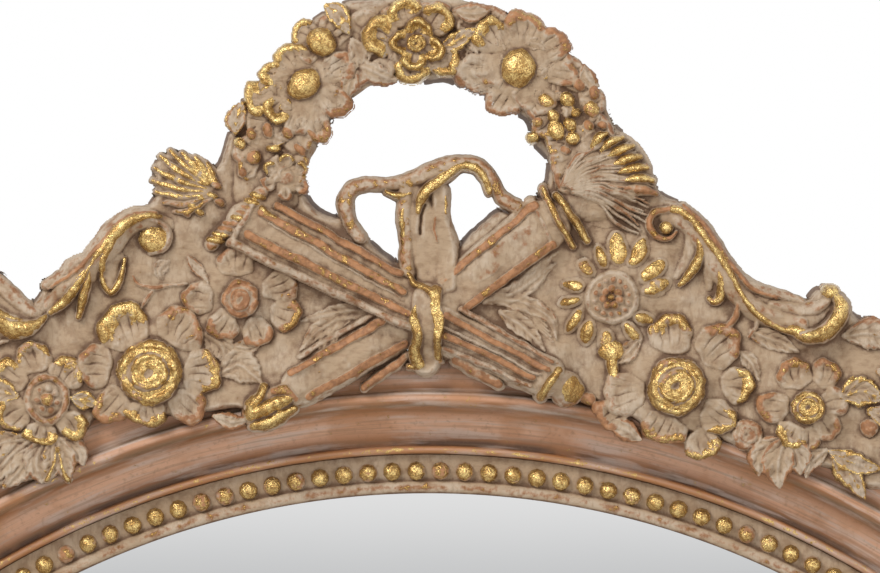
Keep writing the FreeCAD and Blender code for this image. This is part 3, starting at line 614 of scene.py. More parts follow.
# each line: points, half widths, rises, gold, copper
scrolls = {
    "scroll_left": dict(
        lines=[([(166, 226), (148, 219), (133, 222), (118, 233), (103, 251), (87, 271), (68, 289), (50, 304)],
                (8, 12, 13, 14, 13, 12, 11, 8), (5, 8, 10, 10, 10, 9, 8, 5), 0.0, 0.8),
               ([(156, 213), (142, 213), (127, 218), (112, 231), (98, 248), (84, 264), (68, 277), (52, 287)],
                (2.5, 3.5, 3.6, 3.6, 3.6, 3.6, 3.4, 2), (8, 11, 12, 12, 12, 11, 9, 6), 0.1, 1.1),
               ([(143, 226), (147, 219), (158, 221), (167, 230), (169, 240), (163, 250), (150, 254)],
                (2, 3, 3.5, 4, 4, 3, 2), (7, 9, 10, 10, 9, 8, 5), 0.0, 0.4),
               ([(161, 217), (150, 215), (138, 218), (126, 224), (116, 233), (106, 244), (94, 260),
                 (86, 272)], (2.5, 5, 7, 8.5, 8, 5.5, 3.6, 3), (10, 14, 16, 16, 15, 13, 12, 11), 0.95, 0.8),
               ([(88, 268), (80, 280), (71, 294), (58, 307), (51, 313)], (3, 6, 6, 5.5, 3.5),
                (11, 13, 13, 12, 8), 0.85, 0.9),
               ([(117, 236), (108, 250), (103, 262), (102, 271)], (4, 4.8, 5, 4.5), (11, 12, 12, 11), 1.0,
                0.8),
               ([(90, 272), (85, 290), (81, 304), (78, 316)], (3, 5.5, 6, 4), (10, 11, 11, 7), 0.6, 1.0),
               ([(84, 260), (72, 266), (63, 275)], (5, 7, 4), (4, 5, 3), 0.0, 0.4),
               ([(72, 272), (58, 280), (44, 286)], (5, 7, 4), (4, 5, 3), 0.0, 0.5),
               ([(80, 264), (68, 272), (60, 276)], (1, 1.6, 1), (6.5, 6.5), 0.0, 0.7),
               ([(70, 276), (58, 284), (48, 289)], (1, 1.6, 1), (6.5, 6.5), 0.0, 0.7),
               ([(118, 256), (110, 266), (108, 280), (111, 289)], (6, 10, 11, 6), (3, 5, 6, 5), 0.1, 0.5),
               ([(102, 272), (102, 282), (110, 291), (118, 284), (122, 272), (124, 258)],
                (2.5, 3.6, 5, 4.2, 3.2, 2), (7, 9, 11, 10, 9, 6), 0.85, 0.9),
               ([(-40, 292), (-22, 284), (-6, 283), (10, 294), (26, 307), (38, 314)], (8, 9, 9, 8, 7, 5),
                (5, 6, 6, 6, 5, 3), 0.0, 0.6),
               ([(-28, 294), (-18, 308), (-2, 320), (16, 328), (32, 326), (46, 317)], (5, 9, 12, 13, 9, 3),
                (10, 14, 16, 16, 13, 7), 0.92, 0.6)],
        balls=[((155, 240), (15, 15), 13, 0.95), ((-24, 288), (11, 10), 13, 0.8)],
        grooves=[([(-20, 302), (-2, 314), (18, 321), (38, 318)], (1.2, 1.5), 2.0),
                 ([(98, 252), (84, 272), (66, 292)], (0.8, 1.0), 1.6)]),
    "scroll_right": dict(
        lines=[([(668, 214), (688, 222), (706, 246), (722, 270), (740, 296), (762, 313), (800, 324)],
                (9, 12, 13, 13, 12, 11, 8), (5, 8, 10, 10, 9, 8, 5), 0.0, 0.8),
               ([(684, 206), (702, 222), (718, 244), (734, 268), (752, 287), (776, 298)],
                (2, 3, 3.2, 3.2, 3, 2), (7, 11, 12, 11, 9, 6), 0.1, 1.1),
               ([(676, 232), (668, 239), (656, 236), (649, 225), (652, 214), (662, 209), (675, 209)],
                (2, 3, 3.6, 4, 4, 3.8, 3.6), (6, 8, 9, 10, 10, 10, 10), 0.25, 0.95),
               ([(672, 209), (684, 213), (696, 224), (706, 238), (716, 251), (730, 273), (744, 298),
                 (762, 318), (786, 330), (806, 334)], (4.4, 5, 5.4, 6, 5.6, 4.8, 4.6, 4.6, 4.6, 4),
                 (12, 13, 14, 14, 14, 13, 12, 12, 11, 9), 0.75, 1.0),
               ([(697, 238), (700, 250), (697, 262), (690, 273), (680, 284)], (3, 5.5, 6.5, 5.5, 2.6),
                (8, 12, 13, 11, 6), 1.0, 0.8),
               ([(688, 236), (690, 252), (684, 266), (676, 276)], (4, 7, 7, 3), (3, 5, 5, 2), 0.05, 0.4),
               ([(711, 250), (718, 266), (722, 284), (720, 298), (714, 303), (709, 299)],
                (2.6, 4, 4.8, 4.8, 5, 3.4), (7, 9, 10, 10, 11, 8), 0.6, 1.0),
               ([(704, 250), (709, 270), (710, 288)], (4, 7, 4), (2.5, 4, 2), 0.0, 0.3),
               ([(731, 282), (737, 300), (736, 314), (729, 326), (714, 333)], (1.6, 3, 3.4, 3.6, 3),
                (5, 7, 7.5, 7, 5), 0.2, 0.95),
               ([(746, 300), (755, 314), (756, 326), (750, 336)], (1.6, 2.8, 3, 2), (5, 6, 6, 4), 0.05, 0.7),
               ([(738, 276), (752, 286), (766, 291)], (4, 6, 4), (3, 5, 3), 0.0, 0.4),
               ([(752, 284), (768, 292), (784, 296)], (4, 6, 4), (3, 5, 3), 0.0, 0.4),
               ([(770, 292), (788, 297), (802, 300)], (4, 6, 3), (3, 5, 3), 0.0, 0.5),
               ([(742, 278), (754, 287), (770, 294), (790, 300)], (1, 1.6, 1.6, 1), (6.5, 6.5), 0.0, 0.7),
               ([(790, 329), (808, 336), (826, 332), (839, 318), (841, 304), (834, 295)],
                (5, 8, 10, 10, 8, 5), (10, 14, 16, 16, 14, 11), 0.72, 0.9),
               ([(772, 304), (796, 308), (818, 306), (832, 296)], (4, 7, 7, 4), (5, 6, 6, 5), 0.0, 0.6)],
        balls=[((666, 227), (7.5, 7.5), 11, 0.8), ((830, 291), (9, 8), 14, 0.8)],
        grooves=[([(800, 333), (818, 326), (830, 312)], (1.2, 1.4), 2.2)]),
}


def layScroll(r, name, plan):
    for points, widths, rises, gold, copper in plan["lines"]:
        r.strand(name, points, widths, rises, gold, copper)
    for place, half, rise, gold in plan["balls"]:
        r.dome(name, place, half, rise, gold=gold, copper=0.8)
    for points, widths, depth in plan["grooves"]:
        r.cut(points, widths, depth, 0.6)


# petals: centre, half length, half width, rise, gold, copper; core: radius, rise, gold, copper, turn
flowers = {
    "rose_left": dict(hub=(149, 372), core=(32, 17, 0.85, 0.7, 20), petals=[
        (124, 328, 23, 25, 10, 0.75, 0.6), (180, 329, 19, 25, 8, 0.25, 0.9), (95, 366, 17, 22, 8, 0.1, 0.8),
        (201, 372, 19, 22, 8, 0.45, 0.8),
        (188, 406, 19, 17, 8, 0.1, 0.9), (112, 405, 19, 17, 8, 0.35, 0.9), (146, 412, 14, 21, 10, 0.6, 0.8)]),
    "rose_right": dict(hub=(677, 386), core=(29, 17, 0.8, 0.7, 130), petals=[
        (671, 334, 20, 21, 10, 0.5, 0.8), (718, 346, 22, 22, 9, 0.2, 0.95), (624, 394, 21, 21, 8, 0.05, 0.7),
        (737, 385, 17, 17, 9, 0.75, 0.7),
        (718, 417, 18, 17, 9, 0.6, 0.7), (612, 414, 14, 16, 7, 0.1, 0.95), (664, 428, 15, 23, 8, 0.4, 0.8),
        (703, 444, 15, 17, 8, 0.6, 0.7)]),
    "small_rose": dict(hub=(240, 299), core=(19, 12, 0.05, 1.0, 210), petals=[
        (236, 262, 15, 19, 7, 0.05, 0.9), (280, 286, 17, 16, 8, 0.1, 0.6), (198, 298, 16, 16, 7, 0.1, 0.8),
        (285, 314, 15, 16, 8, 0.35, 1.0),
        (223, 325, 15, 15, 8, 0.1, 1.0), (257, 332, 14, 15, 8, 0.15, 1.0)]),
    "side_flower_left": dict(hub=(47, 399), core=None, petals=[
        (33, 358, 16, 18, 8, 0.5, 0.7), (66, 373, 15, 18, 8, 0.55, 0.8), (9, 377, 18, 16, 8, 0.7, 0.6),
        (13, 414, 17, 16, 8, 0.55, 0.7),
        (72, 425, 15, 14, 10, 0.85, 0.5), (41, 433, 12, 17, 10, 0.9, 0.5)]),
    "side_flower_right": dict(hub=(807, 407), core=(17, 13, 0.8, 0.8, 60), petals=[
        (794, 374, 15, 17, 8, 0.3, 1.0), (826, 374, 14, 15, 7, 0.2, 0.8), (773, 407, 16, 16, 8, 0.2, 1.0),
        (833, 402, 15, 15, 6, 0.05, 0.6),
        (826, 426, 14, 13, 6, 0.15, 0.8), (791, 435, 12, 16, 9, 0.9, 0.6), (808, 439, 11, 12, 6, 0.2, 0.8)]),
}


def layCore(r, name, hub, radius, rise, gold, copper, turn):
    # rolled heart: a boss ringed by broken folds that wind in to a hollow
    r.dome(name, hub, (radius * 1.02, radius), rise, turn, gold, copper + 0.4)
    folds = ((0.80, 84, 5, 0.20, 0.62, 0.90), (0.46, 150, 3, 0.19, 0.90, 1.12),
             (0.16, 240, 1, 0.09, 0.9, 0.98))
    for ring, (share, span, count, half, low, high) in enumerate(folds):
        for k in range(count):
            start = turn + 360 / count * k + 25 * ring
            a = math.radians(start + span / 2)
            middle = (hub[0] + 0.05 * radius * math.cos(a), hub[1] + 0.05 * radius * math.sin(a))
            size = share * radius * (1 + 0.06 * math.sin(2.4 * k + turn))
            r.strand(name, roundPath(middle, (size, size * 0.96), start, span),
                     (0.3 * half * radius, half * radius, half * radius, 0.4 * half * radius),
                     (rise * low, rise * high, rise * high, rise * low),
                     gold * (1.0, 0.6, 1.0, 0.85, 0.95)[(k + ring) % 5], copper)
    r.cut(roundPath(hub, (0.62 * radius, 0.60 * radius)), (0.04 * radius, 0.06 * radius, 0.04 * radius),
          0.1 * rise, 0.45)
    r.cut([hub, (hub[0] - 0.06 * radius, hub[1] + 0.04 * radius)], (0.14 * radius, 0.13 * radius),
          0.25 * rise, 0.8)


def layFlower(r, name, plan):
    for shape in plan["petals"]:
        r.petal(name, plan["hub"], shape)
    if plan["core"]:
        layCore(r, name, plan["hub"], *plan["core"])


def laySideHeart(r):
    # ringed seed heart of the far-left flower, with its gilded leaf
    n = "side_flower_left"
    cx, cy = hub = flowers[n]["hub"]
    r.mound(n, hub, 20, 4, 5)
    r.circle(n, hub, (19, 22), (4.5, 4, 4.5, 3.8, 4.5), 8, gold=0.2, copper=0.6)
    for k in range(7):
        a = k * math.pi / 3.5 + 0.3
        r.dome(n, (cx + 10 * math.cos(a), cy + 12 * math.sin(a)), 4.2, 8, gold=0.15, copper=0.7)
    r.dome(n, hub, (7.5, 8.5), 12, gold=0.45, copper=1.0)
    r.leaf(n, [(72, 398), (84, 400), (98, 404)], 9, 8, 2, 0.8, 0.6, goldVeins=0.5)


# petals: centre, half length, half width, turn, gold; seeds: count, reach, radius, rise, gold, copper
sunflower = dict(hub=(612, 298),
                 petals=[(601, 256, 11, 6, 72, 0.75), (618, 249, 16, 9, 84, 0.8), (638, 252, 16, 7, -65, 0.8),
                         (653, 271, 15, 7.5, -40, 0.95),
                                         (657, 287, 14, 7.5, -20, 0.6), (645, 319, 10, 5.5, 12, 0.85),
                                         (585, 268, 9, 6.5, 45, 0.4), (573, 285, 10, 5, 5, 0.9),
                                         (570, 302, 11, 4.5, -15, 0.85), (574, 321, 13, 5, -55, 0.8),
                                         (587, 332, 12, 6.5, -78, 0.8), (606, 340, 9, 7, 90, 0.5),
                                         (632, 333, 11, 6, 50, 0.6)],
                 seeds=[(7, 8, 4.6, 8, 0.2, 1.0), (14, 17, 3.4, 6, 0.1, 0.8)])


def laySunflower(r):
    n = "sunflower"
    hx, hy = hub = sunflower["hub"]
    r.mound(n, hub, 26, 4, 8)
    r.circle(n, hub, (24, 24), (4, 4), 5, copper=0.3)
    for count, reach, radius, rise, gold, copper in sunflower["seeds"]:
        for k in range(count):
            a = k * 2 * math.pi / count + 0.3
            r.dome(n, (hx + reach * math.cos(a), hy + reach * 1.05 * math.sin(a)), radius, rise + 2,
                   gold=gold, copper=copper)
    r.dome(n, hub, 4, 11, gold=0.4, copper=1.0)
    for px, py, a, b, turn, gold in sunflower["petals"]:
        r.dome(n, (px, py), (a + 2.5, b + 2.5), 3.5, turn, 0.0, 0.3)
        r.dome(n, (px, py), (a, b), 7.5, turn, gold, 0.8)
    r.dome(n, (612, 350), (13, 11), 9, 0, 0.9, 0.8)
    r.strand(n, [(612, 356), (613, 370), (615, 388)], (7, 6, 4), (8, 8, 5), 0.9, 0.8)


# bars: two ends, half widths, rise, copper, gold, flatness
quivers = {
    "quiver_panelled": [((545, 225), (455, 294), (26, 21), 6, 0.0, 0.0, 0.86),
                        ((535, 205), (442, 281), (5, 4.6), 10, 1.0, 0.2, 0.5),
                        ((552, 245), (467, 307), (5, 4.6), 10, 1.0, 0.15, 0.5),
                        ((535, 206), (552, 244), (2.5, 2.5), 8, 0.4, 0.0, 0.3),
                        ((530, 232), (478, 272), (13, 11), 6.4, 0.62, 0.0, 0.9),
                        ((532, 200), (441, 279), (4, 4), 6, 0.2, 0.0, 0.3)],
    "quiver_panelled_foot": [((394, 332), (300, 386), (22, 20), 5, 0.0, 0.0, 0.86),
                             ((386, 318), (290, 374), (5, 4.4), 9, 1.0, 0.1, 0.5),
                             ((404, 344), (308, 397), (5, 4.4), 9, 1.0, 0.1, 0.5),
                             ((380, 310), (300, 356), (3.5, 3), 5, 0.3, 0.0, 0.3),
                             ((412, 352), (364, 388), (5, 4), 7, 0.8, 0.0, 0.4)],
    "quiver_fluted": [((251, 226), (414, 307), (27, 23), 9, 0.0, 0.0, 0.88),
                      ((440, 328), (545, 376), (24, 21), 9, 0.0, 0.0, 0.88),
                      ((278, 206), (400, 274), (4.6, 4.2), 15, 1.0, 0.12, 0.5),
                      ((262, 213), (402, 291), (5.2, 4.6), 14, 1.0, 0.25, 0.55),
                      ((248, 235), (408, 313), (5.4, 4.8), 14, 1.0, 0.2, 0.55),
                      ((230, 243), (410, 327), (5.6, 4.8), 15, 0.25, 0.0, 0.35),
                      ((270, 224), (404, 300), (1.6, 1.4), 12, 0.3, 0.0, 0.0),
                      ((254, 203), (232, 240), (4, 4), 13, 0.3, 0.0, 0.3),
                      ((462, 308), (552, 362), (3.4, 3), 15, 0.4, 0.0, 0.3),
                      ((447, 315), (547, 370), (4.4, 4), 14, 1.0, 0.1, 0.5),
                      ((444, 326), (540, 375), (2, 2), 13, 0.15, 0.0, 0.3),
                      ((446, 335), (533, 377), (4.4, 4), 14, 1.0, 0.1, 0.5),
                      ((444, 348), (530, 386), (3.6, 3.2), 15, 0.3, 0.0, 0.3),
                      ((456, 359), (498, 384), (6, 5.5), 10, 0.8, 0.0, 0.4)],
}


def layQuivers(r):
    for name, bars in quivers.items():
        for a, b, widths, rise, copper, gold, flat in bars:
            r.bar(name, a, b, widths, rise, copper, gold, flat)
    r.strand("quiver_fluted", [(262, 208), (266, 212), (276, 218)], (4, 5, 3), 15.5, 0.7, 0.6)
    n = "quiver_band_left"
    r.strand(n, [(261, 193), (238, 216), (212, 244)], (7.5, 8, 7.5), 10, 0.2, 0.8)
    for k in range(9):
        t = (k + 0.5) / 9
        r.dome(n, (261 - 48 * t, 194 + 49 * t), (9.5, 4.4), 14, 12, 0.85 if k in (0, 1, 4, 7, 8) else 0.3,
               0.9)
    n = "quiver_band_right"
    r.strand(n, [(542, 189), (556, 216), (572, 246)], (4, 4.6, 4.2), (13, 15, 14), (0.55), 0.9)
    r.strand(n, [(556, 196), (570, 214), (587, 241)], (5, 5.4, 4), (14, 15, 11), 0.95, 0.7)
    n = "bud_tip_left"
    r.dome(n, (266, 408), (24, 20), 8, -20, 0.3, 0.8)
    r.strand(n, [(264, 386), (260, 396), (252, 404), (250, 416)], (5, 7.5, 8, 6), (10, 15, 15, 11), 1.0, 0.7)
    r.strand(n, [(252, 414), (264, 410), (276, 404), (290, 398)], (7, 9.5, 9, 5), (12, 16, 16, 10), 0.95, 0.7)
    r.strand(n, [(254, 426), (268, 423), (282, 415), (293, 408)], (6, 8, 8, 5), (10, 14, 14, 9), 0.85, 0.8)
    r.strand(n, [(274, 392), (286, 390), (295, 398)], (5, 7, 5), (10, 12, 9), 0.3, 0.9)
    n = "bud_tip_right"
    r.dome(n, (566, 388), (19, 17), 10, 30, 0.1, 0.4)
    r.strand(n, [(559, 371), (550, 382), (540, 396)], (6, 6.6, 5.6), 15, 1.0, 0.7)
    r.dome(n, (571, 390), (13, 14), 13, 20, 0.85, 0.6)
    r.dome(n, (588, 399), (8, 6), 6, 30, 0.2, 0.9)
    r.dome(n, (598, 408), (6, 7), 6, 0, 0.1, 0.9)


# runs: points, half widths, rises, gold, copper, flatness
ribbon = {
    "ribbon_bow": [([(414, 196), (422, 226), (430, 262), (434, 284)], (14, 18, 20, 16), (9, 9), 0.0, 0.1,
                    0.6), ([(440, 190), (441, 220), (446, 250), (446, 282)], (9, 11, 14, 12), (11, 10), 0.0,
                           0.2, 0.5),
                   ([(406, 186), (404, 214), (407, 240), (407, 272)], (9, 8.5, 8, 8), (12, 12, 12, 13), 0.25,
                    0.6, 0.2),
                   ([(360, 238), (350, 224), (345, 204), (351, 189), (366, 184), (388, 185), (410, 181),
                     (432, 171), (452, 164), (470, 164)], (7, 8, 8, 8, 7.5, 8, 8.5, 9, 9, 8),
                     (9, 11, 12, 13, 12, 12, 13, 14, 15, 15), 0.22, 0.45, 0.25),
                   ([(418, 212), (424, 193), (438, 180), (452, 171), (464, 166), (477, 168), (485, 179),
                     (489, 191)], (5, 7.5, 8, 7.5, 6.5, 6.5, 6.5, 5.5), (14, 17, 18, 18, 18, 18, 17, 14),
                     0.75, 0.9, 0.15),
                   ([(466, 162), (480, 166), (492, 181), (503, 197), (518, 207)], (7, 7.5, 7.5, 7.5, 8),
                    (13, 14, 13, 11, 8), 0.2, 0.6, 0.25),
                   ([(386, 193), (396, 197), (410, 194)], (3, 5, 3), (12, 15, 12), 0.6, 0.7, 0.0),
                   ([(402, 210), (401, 222), (404, 236)], (3, 5, 3.4), (13, 15.5, 13), 0.75, 0.7, 0.0),
                   ([(446, 196), (446, 206), (447, 214)], (2, 3.4, 2), (12, 13), 0.7, 0.7, 0.0),
                   ([(436, 219), (435, 230), (438, 242)], (2, 3.8, 2.4), (12, 13), 0.0, 1.0, 0.0)],
    "ribbon_knot": [([(408, 274), (413, 283), (423, 288), (431, 293), (437, 302)], (3, 4.2, 5.4, 6, 6),
                     (15, 18, 21, 23, 23), 1.0, 0.8, 0.0),
                    ([(415, 306), (414, 318), (418, 334), (415, 350), (419, 364)], (2.5, 7.5, 7, 7.5, 7.6),
                     (14, 22, 23, 22, 15), 1.0, 0.8, 0.1),
                    ([(435, 290), (436, 306), (439, 322), (438, 340), (438, 357)], (7, 7.5, 6.8, 6.2, 4),
                     (20, 24, 24, 22, 14), 1.0, 0.8, 0.1),
                    ([(409, 366), (424, 367), (440, 360)], (3, 4, 3), (7, 9, 8), 0.5, 0.8, 0.0)],
}


def layRibbon(r):
    r.strand("ribbon_knot", [(425, 296), (427, 330), (426, 362)], (15, 17, 14), (13, 14, 10), 0.0, 0.3, 0.7)
    for name, runs in ribbon.items():
        for points, widths, rises, gold, copper, flat in runs:
            r.strand(name, points, widths, rises, gold, copper, flat)
    r.cut([(424, 206), (420, 218), (420, 234)], (1.2, 1.6, 1.0), 6, 0.9)


wreath = dict(
    centre=(429, 196), middle=163, lumps=22, creases=90, fill=44,
    flowers={
        "wreath_flower_left": dict(hub=(304, 84), dome=(18, 15, 16, -40), petals=[
            (258, 98, 14, 17, 9, 1.1, 0.7), (273, 75, 14, 12, 8, 0.9, 0.6), (278, 109, 14, 14, 10, 0.9, 0.6),
            (291, 58, 14, 19, 10, 0.7, 0.8), (297, 122, 14, 13, 7, 0.0, 0.5),
            (338, 68, 18, 16, 9, 0.1, 0.9), (334, 101, 19, 14, 9, 0.15, 0.9),
            (318, 126, 18, 13, 9, 0.35, 0.8)]),
        "wreath_flower_right": dict(hub=(518, 69), dome=(17, 21, 17, 10), petals=[
            (491, 36, 18, 18, 11, 0.65, 0.7), (524, 30, 19, 20, 11, 0.3, 0.95),
            (552, 46, 18, 17, 10, 0.1, 1.0), (562, 74, 16, 12, 7, 0.15, 0.9), (477, 72, 21, 19, 7, 0.0, 0.6),
            (503, 100, 16, 17, 7, 0.0, 0.7), (541, 100, 15, 14, 6, 0.1, 0.5)]),
        "wreath_flower_top": dict(hub=(416, 44), dome=None, petals=[
            (381, 36, 18, 20, 12, 1.3, 0.6), (404, 13, 14, 17, 11, 1.1, 0.7), (437, 20, 16, 16, 11, 1.0, 0.7),
            (412, 67, 16, 18, 10, 0.9, 0.8), (443, 60, 18, 16, 9, 0.6, 0.9), (402, 43, 12, 12, 14, 1.3, 0.6),
            (419, 31, 12, 13, 15, 1.2, 0.6), (432, 49, 12, 12, 14, 1.2, 0.6),
            (414, 58, 12, 13, 14, 1.3, 0.6)]),
        "wreath_floret": dict(hub=(287, 178), dome=(8, 8, 7, 0), petals=[
            (271, 168, 7, 7, 9, 0.7, 0.8), (286, 161, 7, 7, 9, 0.7, 0.8), (301, 169, 7, 7, 9, 0.5, 0.8),
            (302, 187, 7, 7, 8, 0.1, 0.9), (285, 194, 7, 7, 8, 0.1, 0.8), (268, 183, 7, 7, 8, 0.1, 0.9)]),
        "wreath_bud": dict(hub=(321, 41), dome=(15, 14, 15, 30),
                           petals=[(304, 31, 11, 14, 9, 0.65, 0.7), (331, 26, 11, 12, 7, 0.1, 0.6),
                                   (308, 52, 10, 11, 7, 0.2, 0.6)]),
    },
    leaves=[([(326, 5), (338, 14), (349, 34)], 10, 9, 0.75, 0.7),
            ([(441, 47), (458, 40), (478, 26)], 9, 9, 0.85, 0.6),
            ([(352, 70), (350, 84), (346, 98)], 10, 7, 0.0, 0.9),
            ([(236, 132), (236, 118), (243, 102)], 10, 8, 0.5, 0.8),
            ([(362, 66), (380, 76), (400, 80)], 10, 6, 0.0, 0.7),
            ([(455, 10), (470, 13), (492, 10)], 9, 7, 0.0, 0.9),
            ([(352, 40), (358, 54), (356, 68)], 9, 6, 0.0, 0.6),
            ([(460, 62), (472, 80), (492, 94)], 10, 5, 0.0, 0.7),
            ([(584, 66), (588, 78), (600, 90)], 9, 6, 0.0, 0.9)],
    berries=[(251, 134, 7, 5, 0.25), (268, 130, 8, 5.5, 0.2), (287, 133, 8, 6, 0.25),
             (240, 143, 6.5, 5.5, 0.8), (253, 157, 8, 7.5, 0.35), (273, 149, 7.5, 4.5, 0.8),
             (300, 150, 8, 5, 0.3),
             (243, 172, 5, 5, 0.1), (546, 101, 10, 7, 0.6), (567, 99, 8, 7, 0.85), (591, 108, 9, 8, 0.5),
             (579, 84, 8, 6, 0.15), (553, 116, 8, 6, 0.8), (575, 113, 5, 5, 0.8), (556, 130, 10, 8, 0.75),
             (570, 125, 8, 6, 0.9), (573, 138, 7, 7, 0.85), (533, 137, 6, 7, 0.8), (537, 122, 6, 5, 0.4),
             (588, 126, 6, 6, 0.3), (602, 124, 6, 5, 0.1), (594, 92, 7, 6, 0.1), (566, 150, 6, 5, 0.1)])


def layWreathRing(r):
    n = "wreath_ring"
    cx, cy = wreath["centre"]
    draw = np.random.RandomState(5)

    def spot(reach, angle):
        return cx + reach * math.cos(angle), cy - reach * math.sin(angle)
    line = [spot(wreath["middle"], a) for a in np.radians(np.linspace(2, 178, 15))]
    r.strand(n, line, (33, 35, 35, 36, 37, 35, 35, 37, 38, 38, 38, 38, 38, 37, 33), 9, copper=0.3, flat=0.35)
    r.keep(n)
    aside = np.abs(np.hypot(r.x - cx, r.y - cy) - wreath["middle"])
    r.base = np.maximum(r.base, 4 + 9 * ease(58, 26, aside) * ease(cy + 14, cy - 10, r.y))
    for k in range(wreath["lumps"]):
        a = math.radians(4 + 172 * (k + 0.5) / wreath["lumps"] + draw.uniform(-2, 2))
        for reach in (187, 139):
            place = spot(reach + draw.uniform(-4, 3), a)
            half = (draw.uniform(13, 18), draw.uniform(10, 13))
            r.petal(n, spot(wreath["middle"], a + draw.uniform(-0.05, 0.05)),
                    (*place, half[1], half[0], draw.uniform(3, 5), 0.3 * (draw.rand() > 0.75),
                     draw.uniform(0.4, 0.9)))
    for k in range(wreath["creases"]):
        a = math.radians(6 + 168 * (k + 0.5) / wreath["creases"])
        reach = draw.uniform(138, 190)
        b = a + draw.uniform(0.02, 0.07)
        ends = [spot(reach, a), spot(reach + 4, (a + b) / 2), spot(reach + draw.uniform(-12, 12), b)]
        r.cut(ends, (0.7, draw.uniform(0.8, 1.4), 0.7), draw.uniform(1.2, 2.4))
    for k in range(wreath["fill"]):
        a = math.radians(5 + 170 * (k + draw.rand()) / wreath["fill"])
        b = a + draw.uniform(-0.11, 0.11)
        reach = draw.uniform(142, 182)
        tip = reach + draw.uniform(-16, 16)
        r.leaf(n, [spot(reach, a), spot((reach + tip) / 2 + 3, (a + b) / 2), spot(tip, b)],
               draw.uniform(6, 9), draw.uniform(3.5, 5.5), 3, 0.55 * (draw.rand() > 0.6),
               draw.uniform(0.5, 1.0))
    for points, width, rise, gold, copper in wreath["leaves"]:
        r.leaf(n, points, width, rise, 3, gold, copper, goldVeins=gold * 0.5)
    r.keep(n)


def layWreathFlowers(r):
    for name, plan in wreath["flowers"].items():
        hub = plan["hub"]
        reach = np.mean([math.hypot(p[0] - hub[0], p[1] - hub[1]) for p in plan["petals"]])
        r.mound(name, hub, reach * 0.8, 3, 7)
        for shape in plan["petals"]:
            r.petal(name, hub, shape, 4.0)
        if plan["dome"]:
            a, b, rise, turn = plan["dome"]
            r.dome(name, hub, (a, b), rise, turn, 0.1 if name == "wreath_floret" else 0.95, 0.7)
        else:
            layCore(r, name, hub, 9, 15, 1.0, 0.7, 30)
    draw = np.random.RandomState(8)
    for px, py, a, b, gold in wreath["berries"]:
        r.dome("wreath_berries", (px, py), (a, b), 7 + 0.3 * (a + b) / 2, draw.uniform(0, 90), gold, 1.0)


# leaves: points, half width, rise, gold, copper
sprays = {
    "leaf_spray_left": [([(30, 440), (8, 458), (-18, 486)], 14, 5, 0.0, 0.5),
                        ([(20, 436), (-6, 446), (-34, 466)], 13, 5, 0.4, 0.5),
                        ([(34, 446), (20, 468), (2, 490)], 12, 5, 0.0, 0.5),
                        ([(44, 440), (36, 462), (42, 484)], 14, 7, 0.0, 0.6),
                        ([(62, 440), (78, 452), (84, 468)], 10, 6, 0.0, 0.6),
                        ([(50, 440), (52, 462), (47, 482)], 11, 9, 0.3, 0.5),
                        ([(56, 438), (64, 462), (70, 483)], 13, 9, 0.3, 0.6)],
    "leaf_spray_right": [([(826, 450), (812, 462), (806, 480)], 9, 4, 0.0, 0.5),
                         ([(780, 440), (762, 456), (760, 478)], 14, 7, 0.1, 1.0),
                         ([(784, 440), (778, 462), (780, 488)], 17, 9, 0.1, 1.0),
                         ([(790, 440), (798, 456), (800, 476)], 14, 8, 0.2, 1.0),
                         ([(830, 452), (850, 462), (884, 470)], 11, 8, 0.75, 0.7),
                         ([(832, 458), (852, 478), (866, 500)], 11, 7, 0.65, 0.7)],
}
tails = dict(leaves=[([(842, 396), (862, 392), (884, 400)], 15, 8, 0.8, 0.8),
                     ([(846, 336), (872, 334), (904, 346)], 15, 6, 0.0, 0.6),
                     ([(880, 372), (920, 382), (960, 406)], 19, 8, 0.5, 0.7),
                     ([(872, 412), (920, 430), (974, 462)], 22, 9, 0.55, 0.7),
                     ([(884, 446), (920, 466), (950, 488)], 14, 6, 0.0, 0.6),
                     ([(950, 430), (990, 462), (1034, 506)], 18, 8, 0.6, 0.7)],
             ball=(870, 428))


def layLeaves(r):
    for name, leaves in sprays.items():
        for points, width, rise, gold, copper in leaves:
            r.leaf(name, points, width, rise, 4, gold, copper, goldVeins=gold * 0.3)
    layCore(r, "leaf_spray_right", (747, 435), 15, 8, 0.0, 0.7, 60)
    n = "leaf_spray_left"
    r.strand(n, [(55, 448), (53, 462), (46, 480)], (1.2, 2.4, 3.4), 11, 0.7, 0.6)
    r.strand(n, [(56, 448), (62, 466), (68, 478)], (1.2, 2.4, 4.4), 11, 0.8, 0.6)
    # the tails lie beyond the photograph and mirror each other
    for name, flip in (("tail_leaves_left", True), ("tail_leaves_right", False)):
        def turned(x, y):
            return (2 * photo["axisX"] - x, y) if flip else (x, y)
        for points, width, rise, gold, copper in tails["leaves"]:
            r.leaf(name, [turned(*p) for p in points], width, rise, 5, gold, copper, goldVeins=gold * 0.4)
        r.dome(name, turned(*tails["ball"]), 9, 9, 0, 0.1, 0.9)


